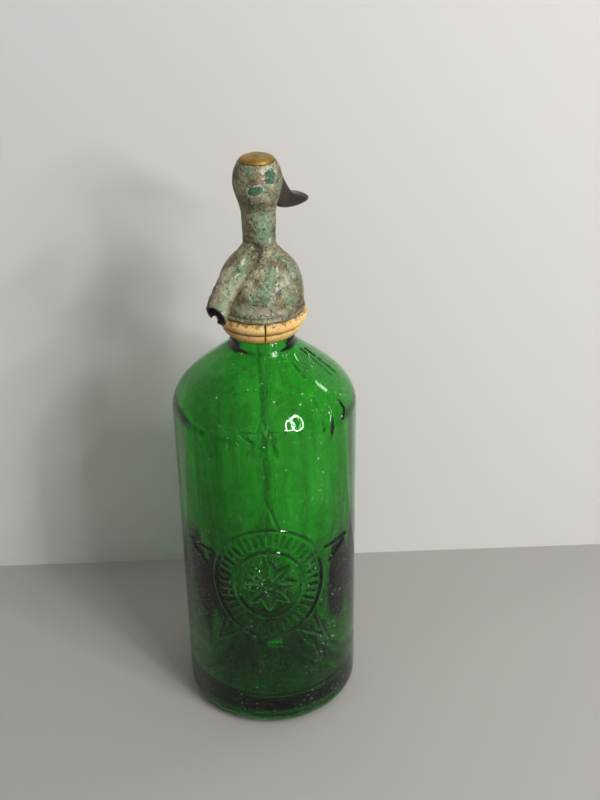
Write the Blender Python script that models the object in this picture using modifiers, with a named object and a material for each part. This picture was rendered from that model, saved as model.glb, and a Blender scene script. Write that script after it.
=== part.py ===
"""Soda siphon: a thick glass bottle under a cast pewter head with a sprung lever valve.

Metres, +Z up. The origin is the middle of the base, on the surface that the bottle stands on. The
spout points along -X and the lever along +X, so the head is symmetric about the XZ plane.

Pressing the lever's outer end down lifts the valve stem off its seat against the closing spring.
The gas in the bottle then drives the water up the dip tube, through the seat and out of the spout.
"""

import math

import bmesh
import bpy
from mathutils import Matrix, Vector

# Fits and cuts
SEAT_GAP = 0.0003
CUT_OVERRUN = 0.003
WELD_DISTANCE = 0.000002

# Sides round each kind of piece
BOTTLE_SIDES = 48
HEAD_SIDES = 40
FITTING_SIDES = 24
SPOUT_SIDES = 16
TUBE_SIDES = 16
PIN_SIDES = 16
WIRE_SIDES = 8

# Glass bottle below its neck
BODY_RADIUS = 0.047
BODY_HEIGHT = 0.1812
BODY_WALL = 0.0046
HEEL_RADIUS = 0.0095
FOOT_WIDTH = 0.0030
PUSH_UP_HEIGHT = 0.0040
FLOOR_THICKNESS = 0.0085
INNER_HEEL_RADIUS = 0.0120
SHOULDER_RISE = 0.0368
SHOULDER_POWER_SHARE = 3.2

# Dip tube and the fittings that hold it
TUBE_RADIUS = 0.0034
TUBE_WALL = 0.0012
TUBE_FOOT_CLEARANCE = 0.0105
TUBE_NUT_WALL = 0.0035
TUBE_NUT_SHANK_HEIGHT = 0.0066
TUBE_NUT_FLANGE_STEP = 0.0014
TUBE_NUT_FLANGE_HEIGHT = 0.0026
GROMMET_HEIGHT = 0.0040

# Bottle neck: a ledge, a groove for the split ring, and a lip above it
NECK_BORE_CLEARANCE = 0.0009
LIP_WALL = 0.0065
LIP_HEIGHT = 0.0078
LIP_ROUND = 0.0012
GROOVE_DEPTH = 0.0016
GROOVE_LENGTH = 0.0076
LEDGE_WIDTH = 0.0018
NECK_LENGTH = 0.0044

# Split ring that is clamped under the glass lip
RING_HEIGHT = 0.0116
RING_FOOT_STEP = 0.0010
RING_SLEEVE_WALL = 0.0022
RING_SLEEVE_HEIGHT = 0.0035
RING_BAND_STEP = 0.0017
RING_LINE_INSET = 0.0016
RING_LOWER_BAND_STEP = 0.0005
RING_LINE_SHARE = 0.47
RING_SPLIT = 0.0007
RING_SPLIT_ANGLE = math.radians(46)

# Neck gasket
GASKET_THICKNESS = 0.0020

# Valve seat, stem and what is on the stem
SEAT_HEIGHT = 0.0061
SEAT_BORE_RADIUS = 0.0026
SEAT_NOSE_WALL = 0.0016
SEAT_NOSE_HEIGHT = 0.0015
VALVE_WASHER_THICKNESS = 0.0020
VALVE_WASHER_INSET = 0.0002
STEM_FOOT_STEP = 0.0004
STEM_FOOT_THICKNESS = 0.0016
STEM_RADIUS = 0.0025
STEM_SHOULDER_WIDTH = 0.0006
STEM_SHOULDER_RISE = 0.0032
STEM_GUIDE_LENGTH = 0.0063
WASHER_SCREW_HEAD_CLEARANCE = 0.0006
WASHER_SCREW_HEAD_HEIGHT = 0.0012
WASHER_SCREW_RADIUS = 0.0009
WASHER_SCREW_LENGTH = 0.0068

# Valve chamber and stem packing
CHAMBER_CLEARANCE = 0.0009
CHAMBER_HEIGHT = 0.0134
WEB_THICKNESS = 0.0020
PACKING_HEIGHT = 0.0024
GLAND_NUT_HEIGHT = 0.0028

# Closing spring and its collar
SPRING_WIRE_RADIUS = 0.0004
SPRING_CLEARANCE = 0.0010
SPRING_COLLAR_STEP = 0.0007
SPRING_COLLAR_THICKNESS = 0.0012
SPRING_TURNS = 4.5
SPRING_POINTS_PER_TURN = 10

# Brass cap
CAP_POCKET_CLEARANCE = 0.0006
CAP_POCKET_DEPTH = 0.0019
CAP_BOSS_WALL = 0.0019
CAP_BOSS_HEIGHT = 0.0042
CAP_FLANGE_STEP = 0.0021
CAP_RIM_HEIGHT = 0.0007
CAP_DOME_RISE = 0.0019
CAP_SEAT_DEPTH = 0.0013
CAP_WASHER_THICKNESS = 0.0008

# Head casting: rim, bell, neck and bulb
SKIRT_WALL = 0.0025
RIM_HEIGHT = 0.0016
RIM_LINE_DEPTH = 0.0004
BELL_HEIGHT = 0.0330
BELL_POWER_SHARE = 2.2
HEAD_NECK_WALL = 0.0026
HEAD_NECK_LENGTH = 0.0128
BULB_SWELL = 0.0037
BULB_SWELL_HEIGHT = 0.0180
BULB_CROWN_HEIGHT = 0.0093
CAP_RIM_WALL = 0.0004

# Spout
SPOUT_RADIUS = 0.0061
SPOUT_TIP_RADIUS = 0.0055
SPOUT_BORE_RADIUS = 0.0040
SPOUT_TOP_MARGIN = 0.0012
SPOUT_SLOPE = math.radians(33)
SPOUT_RUN = 0.0240
SPOUT_BEND_RADIUS = 0.0320
SPOUT_BEND_ANGLE = math.radians(34)
SPOUT_MOUTH_SLOPE = math.radians(28)
SPOUT_MOUTH_TILT = math.radians(4)
SPOUT_CHIP_ANGLE = math.radians(52)
SPOUT_CHIP_RADIUS = 0.0017
SPOUT_CHIP_DEPTH = 0.0020

# Lever, its steel tang and the pin, set out from the pin's axis
LEVER_ARM = 0.0060
LEVER_PIN_DROP = 0.0153
LEVER_PIN_RADIUS = 0.00125
LEVER_THROW = math.radians(20)
LEVER_REACH = 0.0272
LEVER_NOSE_CLEARANCE = 0.0009
LEVER_ROOT_RISE = 0.0082
LEVER_ROOT_DROP = 0.0139
LEVER_ROOT_HALF_WIDTH = 0.0035
LEVER_PAD_HALF_WIDTH = 0.0056
LEVER_ROOT_SQUARENESS_SHARE = 4.0
LEVER_PAD_SQUARENESS_SHARE = 2.4
LEVER_NECKING_SHARE = 0.3
LEVER_SIDES = 16
TANG_HALF_WIDTH = 0.0010
TANG_HALF_HEIGHT = 0.0007
TANG_KNUCKLE_RADIUS = 0.0015
TANG_EYE_WALL = 0.00115
TANG_TAIL_LENGTH = 0.0060
TANG_TAIL_HALF_HEIGHT = 0.0018
SLOT_MARGIN = 0.0006

# The ring's bands, from the top down: share of the band's height and of its bulge.
RING_UPPER_BAND_SHARES = ((0.18, 0.82), (0.42, 1.0), (0.68, 0.80), (0.90, 0.28))
RING_LOWER_BAND_SHARES = ((0.10, 1.0), (0.45, 0.86), (0.78, 0.50))

# Stations along the lever: share of its reach, top as a share of the root's rise, underside as a
# share of the root's drop, and width as a share of the way from the root's to the pad's.
LEVER_STATION_SHARES = (
    (0.04, 0.40, -0.34, 0.0),
    (0.12, 0.72, -0.55, 0.0),
    (0.20, 1.00, -0.69, 0.0),
    (0.28, 0.86, -0.82, 0.0),
    (0.36, 0.46, -0.89, 0.0),
    (0.44, -0.02, -0.94, 0.02),
    (0.52, -0.42, -0.97, 0.12),
    (0.61, -0.74, -0.99, 0.40),
    (0.71, -0.88, -1.00, 0.78),
    (0.81, -0.96, -0.99, 1.00),
    (0.90, -1.06, -0.965, 0.84),
    (0.965, -1.22, -0.925, 0.42),
)

# Radii, from the tube out
TUBE_NUT_SHANK_RADIUS = TUBE_RADIUS + SEAT_GAP + TUBE_NUT_WALL
TUBE_NUT_FLANGE_RADIUS = TUBE_NUT_SHANK_RADIUS + TUBE_NUT_FLANGE_STEP
FITTING_BORE_RADIUS = TUBE_NUT_SHANK_RADIUS + SEAT_GAP
NECK_BORE_RADIUS = TUBE_NUT_FLANGE_RADIUS + NECK_BORE_CLEARANCE
LIP_RADIUS = NECK_BORE_RADIUS + LIP_WALL
GROOVE_RADIUS = LIP_RADIUS - GROOVE_DEPTH
NECK_RADIUS = GROOVE_RADIUS + LEDGE_WIDTH
RING_BORE_RADIUS = GROOVE_RADIUS + SEAT_GAP
RING_SLEEVE_BORE_RADIUS = LIP_RADIUS + SEAT_GAP
RING_SLEEVE_RADIUS = RING_SLEEVE_BORE_RADIUS + RING_SLEEVE_WALL
SKIRT_BORE_RADIUS = RING_SLEEVE_RADIUS + SEAT_GAP
RIM_RADIUS = SKIRT_BORE_RADIUS + SKIRT_WALL
RING_LINE_RADIUS = RIM_RADIUS - RING_LINE_INSET
RING_FOOT_RADIUS = NECK_RADIUS + RING_FOOT_STEP

# Radii, from the valve out
STEM_FOOT_RADIUS = SEAT_BORE_RADIUS + SEAT_NOSE_WALL + STEM_FOOT_STEP
VALVE_WASHER_RADIUS = STEM_FOOT_RADIUS - VALVE_WASHER_INSET
WASHER_SCREW_HEAD_RADIUS = SEAT_BORE_RADIUS - WASHER_SCREW_HEAD_CLEARANCE
STEM_GUIDE_RADIUS = STEM_RADIUS - STEM_SHOULDER_WIDTH
CHAMBER_RADIUS = STEM_FOOT_RADIUS + CHAMBER_CLEARANCE
HEAD_NECK_RADIUS = CHAMBER_RADIUS + HEAD_NECK_WALL
BULB_RADIUS = HEAD_NECK_RADIUS + BULB_SWELL
SPRING_RADIUS = STEM_GUIDE_RADIUS + SPRING_CLEARANCE + SPRING_WIRE_RADIUS
SPRING_COLLAR_RADIUS = SPRING_RADIUS + SPRING_WIRE_RADIUS + SPRING_COLLAR_STEP
CAP_POCKET_RADIUS = SPRING_RADIUS + SPRING_WIRE_RADIUS + CAP_POCKET_CLEARANCE
CAP_BOSS_RADIUS = CAP_POCKET_RADIUS + CAP_BOSS_WALL
CAP_RADIUS = CAP_BOSS_RADIUS + CAP_FLANGE_STEP
BULB_TOP_RADIUS = CAP_RADIUS + SEAT_GAP + CAP_RIM_WALL
LEVER_PIN_HOLE_RADIUS = LEVER_PIN_RADIUS + SEAT_GAP
LEVER_INNER_REACH = LEVER_ARM - STEM_RADIUS - LEVER_NOSE_CLEARANCE
TANG_EYE_RADIUS = LEVER_PIN_HOLE_RADIUS + TANG_EYE_WALL

# Heights on the bottle and the ring
BOTTLE_FLOOR = PUSH_UP_HEIGHT + FLOOR_THICKNESS
LEDGE_HEIGHT = BODY_HEIGHT + SHOULDER_RISE + NECK_LENGTH
LIP_UNDERSIDE = LEDGE_HEIGHT + GROOVE_LENGTH
LIP_TOP = LIP_UNDERSIDE + LIP_HEIGHT
RING_BOTTOM = LEDGE_HEIGHT + SEAT_GAP
RING_TOP = RING_BOTTOM + RING_HEIGHT

# Heights on the head, from its rim up
RIM_BOTTOM = RING_TOP + SEAT_GAP
BELL_BOTTOM = RIM_BOTTOM + RIM_HEIGHT
BELL_TOP = BELL_BOTTOM + BELL_HEIGHT
BULB_BOTTOM = BELL_TOP + HEAD_NECK_LENGTH
BULB_MIDDLE = BULB_BOTTOM + BULB_SWELL_HEIGHT
BULB_TOP = BULB_MIDDLE + BULB_CROWN_HEIGHT
LEVER_PIN_HEIGHT = BULB_TOP - LEVER_PIN_DROP
GASKET_BOTTOM = LIP_TOP + SEAT_GAP
HEAD_CEILING = GASKET_BOTTOM + GASKET_THICKNESS + SEAT_GAP

# Heights inside the head, from the tube nut up
TUBE_NUT_TOP = HEAD_CEILING + TUBE_NUT_SHANK_HEIGHT
GROMMET_BOTTOM = TUBE_NUT_TOP + SEAT_GAP
GROMMET_TOP = GROMMET_BOTTOM + GROMMET_HEIGHT
TUBE_TOP = GROMMET_TOP - SEAT_GAP
SEAT_BOTTOM = GROMMET_TOP + SEAT_GAP
SEAT_TOP = SEAT_BOTTOM + SEAT_HEIGHT
CHAMBER_BOTTOM = SEAT_TOP + SEAT_GAP
VALVE_WASHER_BOTTOM = SEAT_TOP + SEAT_NOSE_HEIGHT + SEAT_GAP
STEM_BOTTOM = VALVE_WASHER_BOTTOM + VALVE_WASHER_THICKNESS + SEAT_GAP
CHAMBER_TOP = CHAMBER_BOTTOM + CHAMBER_HEIGHT
PACKING_BOTTOM = CHAMBER_TOP + WEB_THICKNESS + SEAT_GAP
GLAND_NUT_BOTTOM = PACKING_BOTTOM + PACKING_HEIGHT + SEAT_GAP
STEM_SHOULDER = LEVER_PIN_HEIGHT + STEM_SHOULDER_RISE
SPRING_COLLAR_BOTTOM = STEM_SHOULDER + SEAT_GAP
SPRING_BOTTOM = SPRING_COLLAR_BOTTOM + SPRING_COLLAR_THICKNESS + SEAT_GAP
CAP_SEAT = BULB_TOP - CAP_SEAT_DEPTH
CAP_FLANGE_BOTTOM = CAP_SEAT + SEAT_GAP + CAP_WASHER_THICKNESS + SEAT_GAP
CAP_BOSS_BOTTOM = CAP_FLANGE_BOTTOM - CAP_BOSS_HEIGHT
CAP_POCKET_TOP = CAP_BOSS_BOTTOM + CAP_POCKET_DEPTH
SPRING_TOP = CAP_POCKET_TOP - SEAT_GAP

# Finishes: colour, metallic, roughness
GREEN_GLASS = ("green_glass", (0.015, 0.20, 0.012), 0.0, 0.05)
CLEAR_GLASS = ("clear_glass", (0.35, 0.45, 0.35), 0.0, 0.05)
AGED_PLASTIC = ("aged_cream_plastic", (0.74, 0.48, 0.19), 0.0, 0.45)
PEWTER = ("pewter", (0.20, 0.18, 0.12), 0.8, 0.50)
BRASS = ("brass", (0.36, 0.22, 0.05), 0.9, 0.35)
STEEL = ("steel", (0.35, 0.34, 0.33), 1.0, 0.35)
BLACK_PLASTIC = ("black_plastic", (0.035, 0.027, 0.024), 0.0, 0.40)
RUBBER = ("black_rubber", (0.02, 0.02, 0.02), 0.0, 0.80)


def clear_scene():
    """Removes what is in the scene, so that the script starts from nothing."""
    for obj in list(bpy.data.objects):
        bpy.data.objects.remove(obj, do_unlink=True)


def new_collection(name):
    """Returns a new collection that is linked to the scene."""
    collection = bpy.data.collections.new(name)
    bpy.context.scene.collection.children.link(collection)
    return collection


def new_material(name, finish):
    """Returns a Principled material for one piece, from a finish's colour, metallic and roughness."""
    finish_name, colour, metallic, roughness = finish
    material = bpy.data.materials.new(name + "_" + finish_name)
    material.use_nodes = True
    shader = material.node_tree.nodes["Principled BSDF"]
    shader.inputs["Base Color"].default_value = (*colour, 1)
    shader.inputs["Metallic"].default_value = metallic
    shader.inputs["Roughness"].default_value = roughness
    return material


def new_object(name, mesh, finish, collection):
    """Returns an object of the mesh with a material of its own."""
    obj = bpy.data.objects.new(name, mesh)
    collection.objects.link(obj)
    if finish:
        mesh.materials.append(new_material(name, finish))
    return obj


def hide_as_cutter(obj):
    """Shows a cutter as wires and keeps it out of renders."""
    obj.hide_render = True
    obj.display_type = "WIRE"


def apply_modifiers(obj):
    """Replaces the object's mesh by its evaluated one, welded, and drops its modifiers."""
    bpy.context.view_layer.update()
    graph = bpy.context.evaluated_depsgraph_get()
    mesh = bpy.data.meshes.new_from_object(obj.evaluated_get(graph))
    working = bmesh.new()
    working.from_mesh(mesh)
    bmesh.ops.remove_doubles(working, verts=working.verts, dist=WELD_DISTANCE)
    bmesh.ops.dissolve_degenerate(working, edges=working.edges, dist=WELD_DISTANCE)
    working.to_mesh(mesh)
    working.free()
    obj.modifiers.clear()
    obj.data = mesh


def shade_round(obj, sharp_angle=math.radians(35)):
    """Shades the object smooth, with sharp edges where its faces meet at more than the angle."""
    obj.data.shade_smooth()
    obj.data.set_sharp_from_angle(angle=sharp_angle)


def turned(name, outline, sides, finish, collection):
    """Turns an outline of (radius, height) points about the Z axis.

    The outline runs down the outer side. It is closed by itself unless both its ends are on the axis.
    """
    points = [(radius, 0, height) for radius, height in outline]
    last = len(points) - 1
    edges = [(index, index + 1) for index in range(last)]
    if outline[0][0] > 0 or outline[-1][0] > 0:
        edges.append((last, 0))
    mesh = bpy.data.meshes.new(name)
    mesh.from_pydata(points, edges, [])
    obj = new_object(name, mesh, finish, collection)
    screw = obj.modifiers.new("Turn", "SCREW")
    screw.axis = "Z"
    screw.angle = 2 * math.pi
    screw.steps = sides
    screw.render_steps = sides
    screw.use_merge_vertices = True
    screw.merge_threshold = WELD_DISTANCE
    apply_modifiers(obj)
    shade_round(obj)
    return obj


def ring(name, inner, outer, bottom, top, finish, collection, sides=FITTING_SIDES):
    """Returns a plain ring between two radii and two heights."""
    outline = [(inner, top), (outer, top), (outer, bottom), (inner, bottom)]
    return turned(name, outline, sides, finish, collection)


def box(name, size, centre, turn, collection):
    """Returns a box cutter of the given size, turned by a matrix about its own centre."""
    mesh = bpy.data.meshes.new(name)
    working = bmesh.new()
    bmesh.ops.create_cube(working, size=1)
    bmesh.ops.scale(working, vec=Vector(size), verts=working.verts)
    working.to_mesh(mesh)
    working.free()
    obj = new_object(name, mesh, None, collection)
    obj.matrix_world = Matrix.Translation(centre) @ turn
    hide_as_cutter(obj)
    return obj


def cross_cylinder(name, radius, half_length, centre, finish, collection):
    """Returns a cylinder that lies along Y, round the given centre."""
    mesh = bpy.data.meshes.new(name)
    working = bmesh.new()
    bmesh.ops.create_cone(
        working,
        cap_ends=True,
        segments=PIN_SIDES,
        radius1=radius,
        radius2=radius,
        depth=2 * half_length,
        matrix=Matrix.Rotation(math.pi / 2, 4, "X"),
    )
    working.to_mesh(mesh)
    working.free()
    obj = new_object(name, mesh, finish, collection)
    obj.location = centre
    shade_round(obj)
    return obj


def tube(name, path, radius, sides, finish, collection, end_share=1):
    """Returns a solid round bar along the path, as a mesh with welded caps.

    The bar tapers evenly to a share of its radius at the path's end.
    """
    curve = bpy.data.curves.new(name + "_path", "CURVE")
    curve.dimensions = "3D"
    curve.bevel_depth = radius
    curve.bevel_resolution = sides // 2 - 2
    curve.use_fill_caps = True
    spline = curve.splines.new("POLY")
    spline.points.add(len(path) - 1)
    length = sum((far - near).length for near, far in zip(path, path[1:]))
    travelled = 0
    before = path[0]
    for point, place in zip(spline.points, path):
        travelled += (place - before).length
        before = place
        point.co = (*place, 1)
        point.radius = 1 + (end_share - 1) * travelled / length
    guide = bpy.data.objects.new(name + "_path", curve)
    collection.objects.link(guide)
    bpy.context.view_layer.update()
    graph = bpy.context.evaluated_depsgraph_get()
    mesh = bpy.data.meshes.new_from_object(guide.evaluated_get(graph))
    bpy.data.objects.remove(guide, do_unlink=True)
    working = bmesh.new()
    working.from_mesh(mesh)
    bmesh.ops.remove_doubles(working, verts=working.verts, dist=WELD_DISTANCE)
    bmesh.ops.recalc_face_normals(working, faces=working.faces)
    working.to_mesh(mesh)
    working.free()
    mesh.materials.clear()
    obj = new_object(name, mesh, finish, collection)
    shade_round(obj)
    return obj


def combine(obj, other, operation):
    """Adds an exact Boolean with the other object, and applies it."""
    boolean = obj.modifiers.new(other.name, "BOOLEAN")
    boolean.operation = operation
    boolean.solver = "EXACT"
    boolean.object = other
    apply_modifiers(obj)


def cut(obj, cutter):
    """Cuts the cutter out of the object."""
    hide_as_cutter(cutter)
    combine(obj, cutter, "DIFFERENCE")


def arc(centre, radius, start, end, steps):
    """Returns points on an arc of (radius, height) places, from one angle to another."""
    angles = [start + (end - start) * step / steps for step in range(steps + 1)]
    return [(centre[0] + radius * math.cos(a), centre[1] + radius * math.sin(a)) for a in angles]


def shoulder_outline(neck, body, bottom, rise, steps):
    """Returns the shoulder from the neck down: a dome that sweeps up into the neck."""
    points = []
    for step in range(steps + 1):
        angle = math.pi / 2 * (1 - step / steps)
        radius = neck + (body - neck) * math.cos(angle) ** SHOULDER_POWER_SHARE
        points.append((radius, bottom + rise * math.sin(angle)))
    return points


def make_bottle(parts):
    """Blown and moulded bottle: a heel, straight wall, domed shoulder, and a lip above a groove."""
    heel_centre = (BODY_RADIUS - HEEL_RADIUS, HEEL_RADIUS)
    foot_inner = heel_centre[0] - FOOT_WIDTH
    outer = [
        (LIP_RADIUS - LIP_ROUND, LIP_TOP),
        (LIP_RADIUS, LIP_TOP - LIP_ROUND),
        (LIP_RADIUS, LIP_UNDERSIDE),
        (GROOVE_RADIUS, LIP_UNDERSIDE),
        (GROOVE_RADIUS, LEDGE_HEIGHT),
        (NECK_RADIUS, LEDGE_HEIGHT),
    ]
    outer += shoulder_outline(NECK_RADIUS, BODY_RADIUS, BODY_HEIGHT, SHOULDER_RISE, 10)
    outer += arc(heel_centre, HEEL_RADIUS, 0, -math.pi / 2, 4)
    outer += [(foot_inner, 0), (foot_inner - PUSH_UP_HEIGHT, PUSH_UP_HEIGHT / 2), (0, PUSH_UP_HEIGHT)]
    inner_radius = BODY_RADIUS - BODY_WALL
    inner_heel_centre = (inner_radius - INNER_HEEL_RADIUS, BOTTLE_FLOOR + INNER_HEEL_RADIUS)
    inner = [(0, BOTTLE_FLOOR)]
    inner += arc(inner_heel_centre, INNER_HEEL_RADIUS, -math.pi / 2, 0, 4)
    inner_rise = SHOULDER_RISE - BODY_WALL
    inner += reversed(shoulder_outline(NECK_BORE_RADIUS, inner_radius, BODY_HEIGHT, inner_rise, 8))
    inner += [(NECK_BORE_RADIUS, LIP_TOP - LIP_ROUND), (NECK_BORE_RADIUS + LIP_ROUND, LIP_TOP)]
    # The section starts on the axis at the floor and ends on it under the base.
    turned("glass_bottle", inner + outer, BOTTLE_SIDES, GREEN_GLASS, parts)


def ring_outline():
    """Returns the split ring's section: two rounded bands with a line between, and a sleeve above."""
    sleeve_top = RING_TOP + RING_SLEEVE_HEIGHT
    line = RING_BOTTOM + RING_HEIGHT * RING_LINE_SHARE
    step = LIP_UNDERSIDE - SEAT_GAP
    outline = [
        (RING_SLEEVE_BORE_RADIUS, sleeve_top),
        (RING_SLEEVE_RADIUS, sleeve_top),
        (RING_SLEEVE_RADIUS, RING_TOP),
        (RIM_RADIUS, RING_TOP),
    ]
    for drop, bulge in RING_UPPER_BAND_SHARES:
        height = RING_TOP - (RING_TOP - line) * drop
        outline.append((RING_LINE_RADIUS + (RING_LINE_INSET + RING_BAND_STEP) * bulge, height))
    outline.append((RING_LINE_RADIUS, line))
    lower_bulge = RING_LINE_RADIUS + RING_LOWER_BAND_STEP - RING_FOOT_RADIUS
    for drop, bulge in RING_LOWER_BAND_SHARES:
        outline.append((RING_FOOT_RADIUS + lower_bulge * bulge, line - (line - RING_BOTTOM) * drop))
    return outline + [
        (RING_FOOT_RADIUS, RING_BOTTOM),
        (RING_BORE_RADIUS, RING_BOTTOM),
        (RING_BORE_RADIUS, step),
        (RING_SLEEVE_BORE_RADIUS, step),
    ]


def make_split_ring(parts, cutters):
    """The ring is in two halves, so that it can go round the glass neck under the lip."""
    size = 3 * RIM_RADIUS
    for name, side in (("collar_half_left", 1), ("collar_half_right", -1)):
        half = turned(name, ring_outline(), HEAD_SIDES, AGED_PLASTIC, parts)
        turn = RING_SPLIT_ANGLE + side * math.pi / 2
        away = Vector((math.cos(turn), math.sin(turn), 0)) * (size / 2 - RING_SPLIT / 2)
        centre = Vector((0, 0, RING_TOP)) - away
        cutter = box(name + "_cut", (size, size, size), centre, Matrix.Rotation(turn, 4, "Z"), cutters)
        cut(half, cutter)
        shade_round(half)


def make_neck_gasket(parts):
    """Flat rubber ring between the glass lip and the head."""
    inner = NECK_BORE_RADIUS + LIP_ROUND
    top = GASKET_BOTTOM + GASKET_THICKNESS
    ring("neck_gasket", inner, LIP_RADIUS, GASKET_BOTTOM, top, RUBBER, parts)


def bell_radius(share):
    """Returns the bell's radius at a share of its height: it closes in to the neck in one sweep."""
    swing = math.cos(math.pi * share**BELL_POWER_SHARE)
    return HEAD_NECK_RADIUS + (RIM_RADIUS - RIM_LINE_DEPTH - HEAD_NECK_RADIUS) * (1 + swing) / 2


def bulb_radius(height):
    """Returns the bulb's radius at a height: a swell from the neck, and a crown above its middle."""
    if height >= BULB_MIDDLE:
        rise = (height - BULB_MIDDLE) / BULB_CROWN_HEIGHT
        narrowing = 1 - (BULB_TOP_RADIUS / BULB_RADIUS) ** 2
        return BULB_RADIUS * math.sqrt(1 - narrowing * rise**2)
    share = (height - BULB_BOTTOM) / BULB_SWELL_HEIGHT
    return HEAD_NECK_RADIUS + BULB_SWELL * (1 - math.cos(math.pi * share)) / 2


def bulb_outline(steps):
    """Returns the bulb from its top rim down to the head's neck."""
    crown = [BULB_TOP - BULB_CROWN_HEIGHT * step / steps for step in range(steps)]
    swell = [BULB_MIDDLE - BULB_SWELL_HEIGHT * step / steps for step in range(steps + 1)]
    return [(bulb_radius(height), height) for height in crown + swell]


def spout_root_height():
    """Returns the height of the spout's axis over the head's: its bore opens just below the web."""
    bore_half_height = SPOUT_BORE_RADIUS / math.cos(SPOUT_SLOPE)
    at_chamber_wall = CHAMBER_TOP - SPOUT_TOP_MARGIN - bore_half_height
    return at_chamber_wall + CHAMBER_RADIUS * math.tan(SPOUT_SLOPE)


def spout_path(start, overrun):
    """Returns the spout's centre line: a straight run from the axis and a bend down to the mouth."""
    down = Vector((-math.cos(SPOUT_SLOPE), 0, -math.sin(SPOUT_SLOPE)))
    root = Vector((0, 0, spout_root_height()))
    bend_start = root + down * SPOUT_RUN
    centre = bend_start + Vector((math.sin(SPOUT_SLOPE), 0, -math.cos(SPOUT_SLOPE))) * SPOUT_BEND_RADIUS
    points = [root + down * start]
    steps = 7
    end_angle = SPOUT_BEND_ANGLE + overrun / SPOUT_BEND_RADIUS
    for step in range(steps + 1):
        slope = SPOUT_SLOPE + end_angle * step / steps
        points.append(centre + Vector((-math.sin(slope), 0, math.cos(slope))) * SPOUT_BEND_RADIUS)
    return points


def cut_spout_mouth(head, cutters):
    """The mouth ends at a slant, longest on the bottle's side, and its far wall has a chip out."""
    mouth = spout_path(0, 0)[-1]
    size = 4 * SPOUT_RADIUS
    outward = Vector((-math.cos(SPOUT_MOUTH_SLOPE), 0, -math.sin(SPOUT_MOUTH_SLOPE)))
    turn = outward.to_track_quat("X", "Z").to_matrix().to_4x4()
    turn = turn @ Matrix.Rotation(SPOUT_MOUTH_TILT, 4, "Z")
    centre = mouth + turn @ Vector((size / 2, 0, 0))
    cut(head, box("spout_end_cut", (size, size, size), centre, turn, cutters))
    chip_turn = turn @ Matrix.Rotation(SPOUT_CHIP_ANGLE, 4, "X")
    far_wall = mouth + chip_turn @ Vector((SPOUT_CHIP_RADIUS - SPOUT_CHIP_DEPTH, -SPOUT_RADIUS, 0))
    chip = cross_cylinder("spout_chip_cut", SPOUT_CHIP_RADIUS, SPOUT_RADIUS, far_wall, None, cutters)
    chip.rotation_euler = chip_turn.to_euler()
    cut(head, chip)


def head_bores_outline():
    """Returns the outline of all that is bored out of the head from below and from above."""
    top_bore = CAP_BOSS_RADIUS + SEAT_GAP
    stem_bore = STEM_RADIUS + SEAT_GAP
    web_top = CHAMBER_TOP + WEB_THICKNESS
    return [
        (0, BULB_TOP + CUT_OVERRUN),
        (CAP_RADIUS + SEAT_GAP, BULB_TOP + CUT_OVERRUN),
        (CAP_RADIUS + SEAT_GAP, CAP_SEAT),
        (top_bore, CAP_SEAT),
        (top_bore, CAP_BOSS_BOTTOM - SEAT_GAP),
        (CHAMBER_RADIUS, CAP_BOSS_BOTTOM - SEAT_GAP),
        (CHAMBER_RADIUS, web_top),
        (stem_bore, web_top),
        (stem_bore, CHAMBER_TOP),
        (CHAMBER_RADIUS, CHAMBER_TOP),
        (CHAMBER_RADIUS, CHAMBER_BOTTOM),
        (FITTING_BORE_RADIUS, CHAMBER_BOTTOM),
        (FITTING_BORE_RADIUS, HEAD_CEILING),
        (SKIRT_BORE_RADIUS, HEAD_CEILING),
        (SKIRT_BORE_RADIUS, RIM_BOTTOM - CUT_OVERRUN),
        (0, RIM_BOTTOM - CUT_OVERRUN),
    ]


def slot_heights():
    """Returns the slot's bottom and top: it clears the lever's root at rest and pressed down."""
    lowest = 0
    for distance, _, _, bottom, _ in lever_stations():
        for angle in (0, LEVER_THROW):
            out = distance * math.cos(angle) + bottom * math.sin(angle)
            up = bottom * math.cos(angle) - distance * math.sin(angle)
            if LEVER_ARM + out < HEAD_NECK_RADIUS + SEAT_GAP:
                lowest = min(lowest, up)
    slot_bottom = LEVER_PIN_HEIGHT + lowest - SLOT_MARGIN
    return slot_bottom, LEVER_PIN_HEIGHT + LEVER_ROOT_RISE + SLOT_MARGIN


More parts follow.
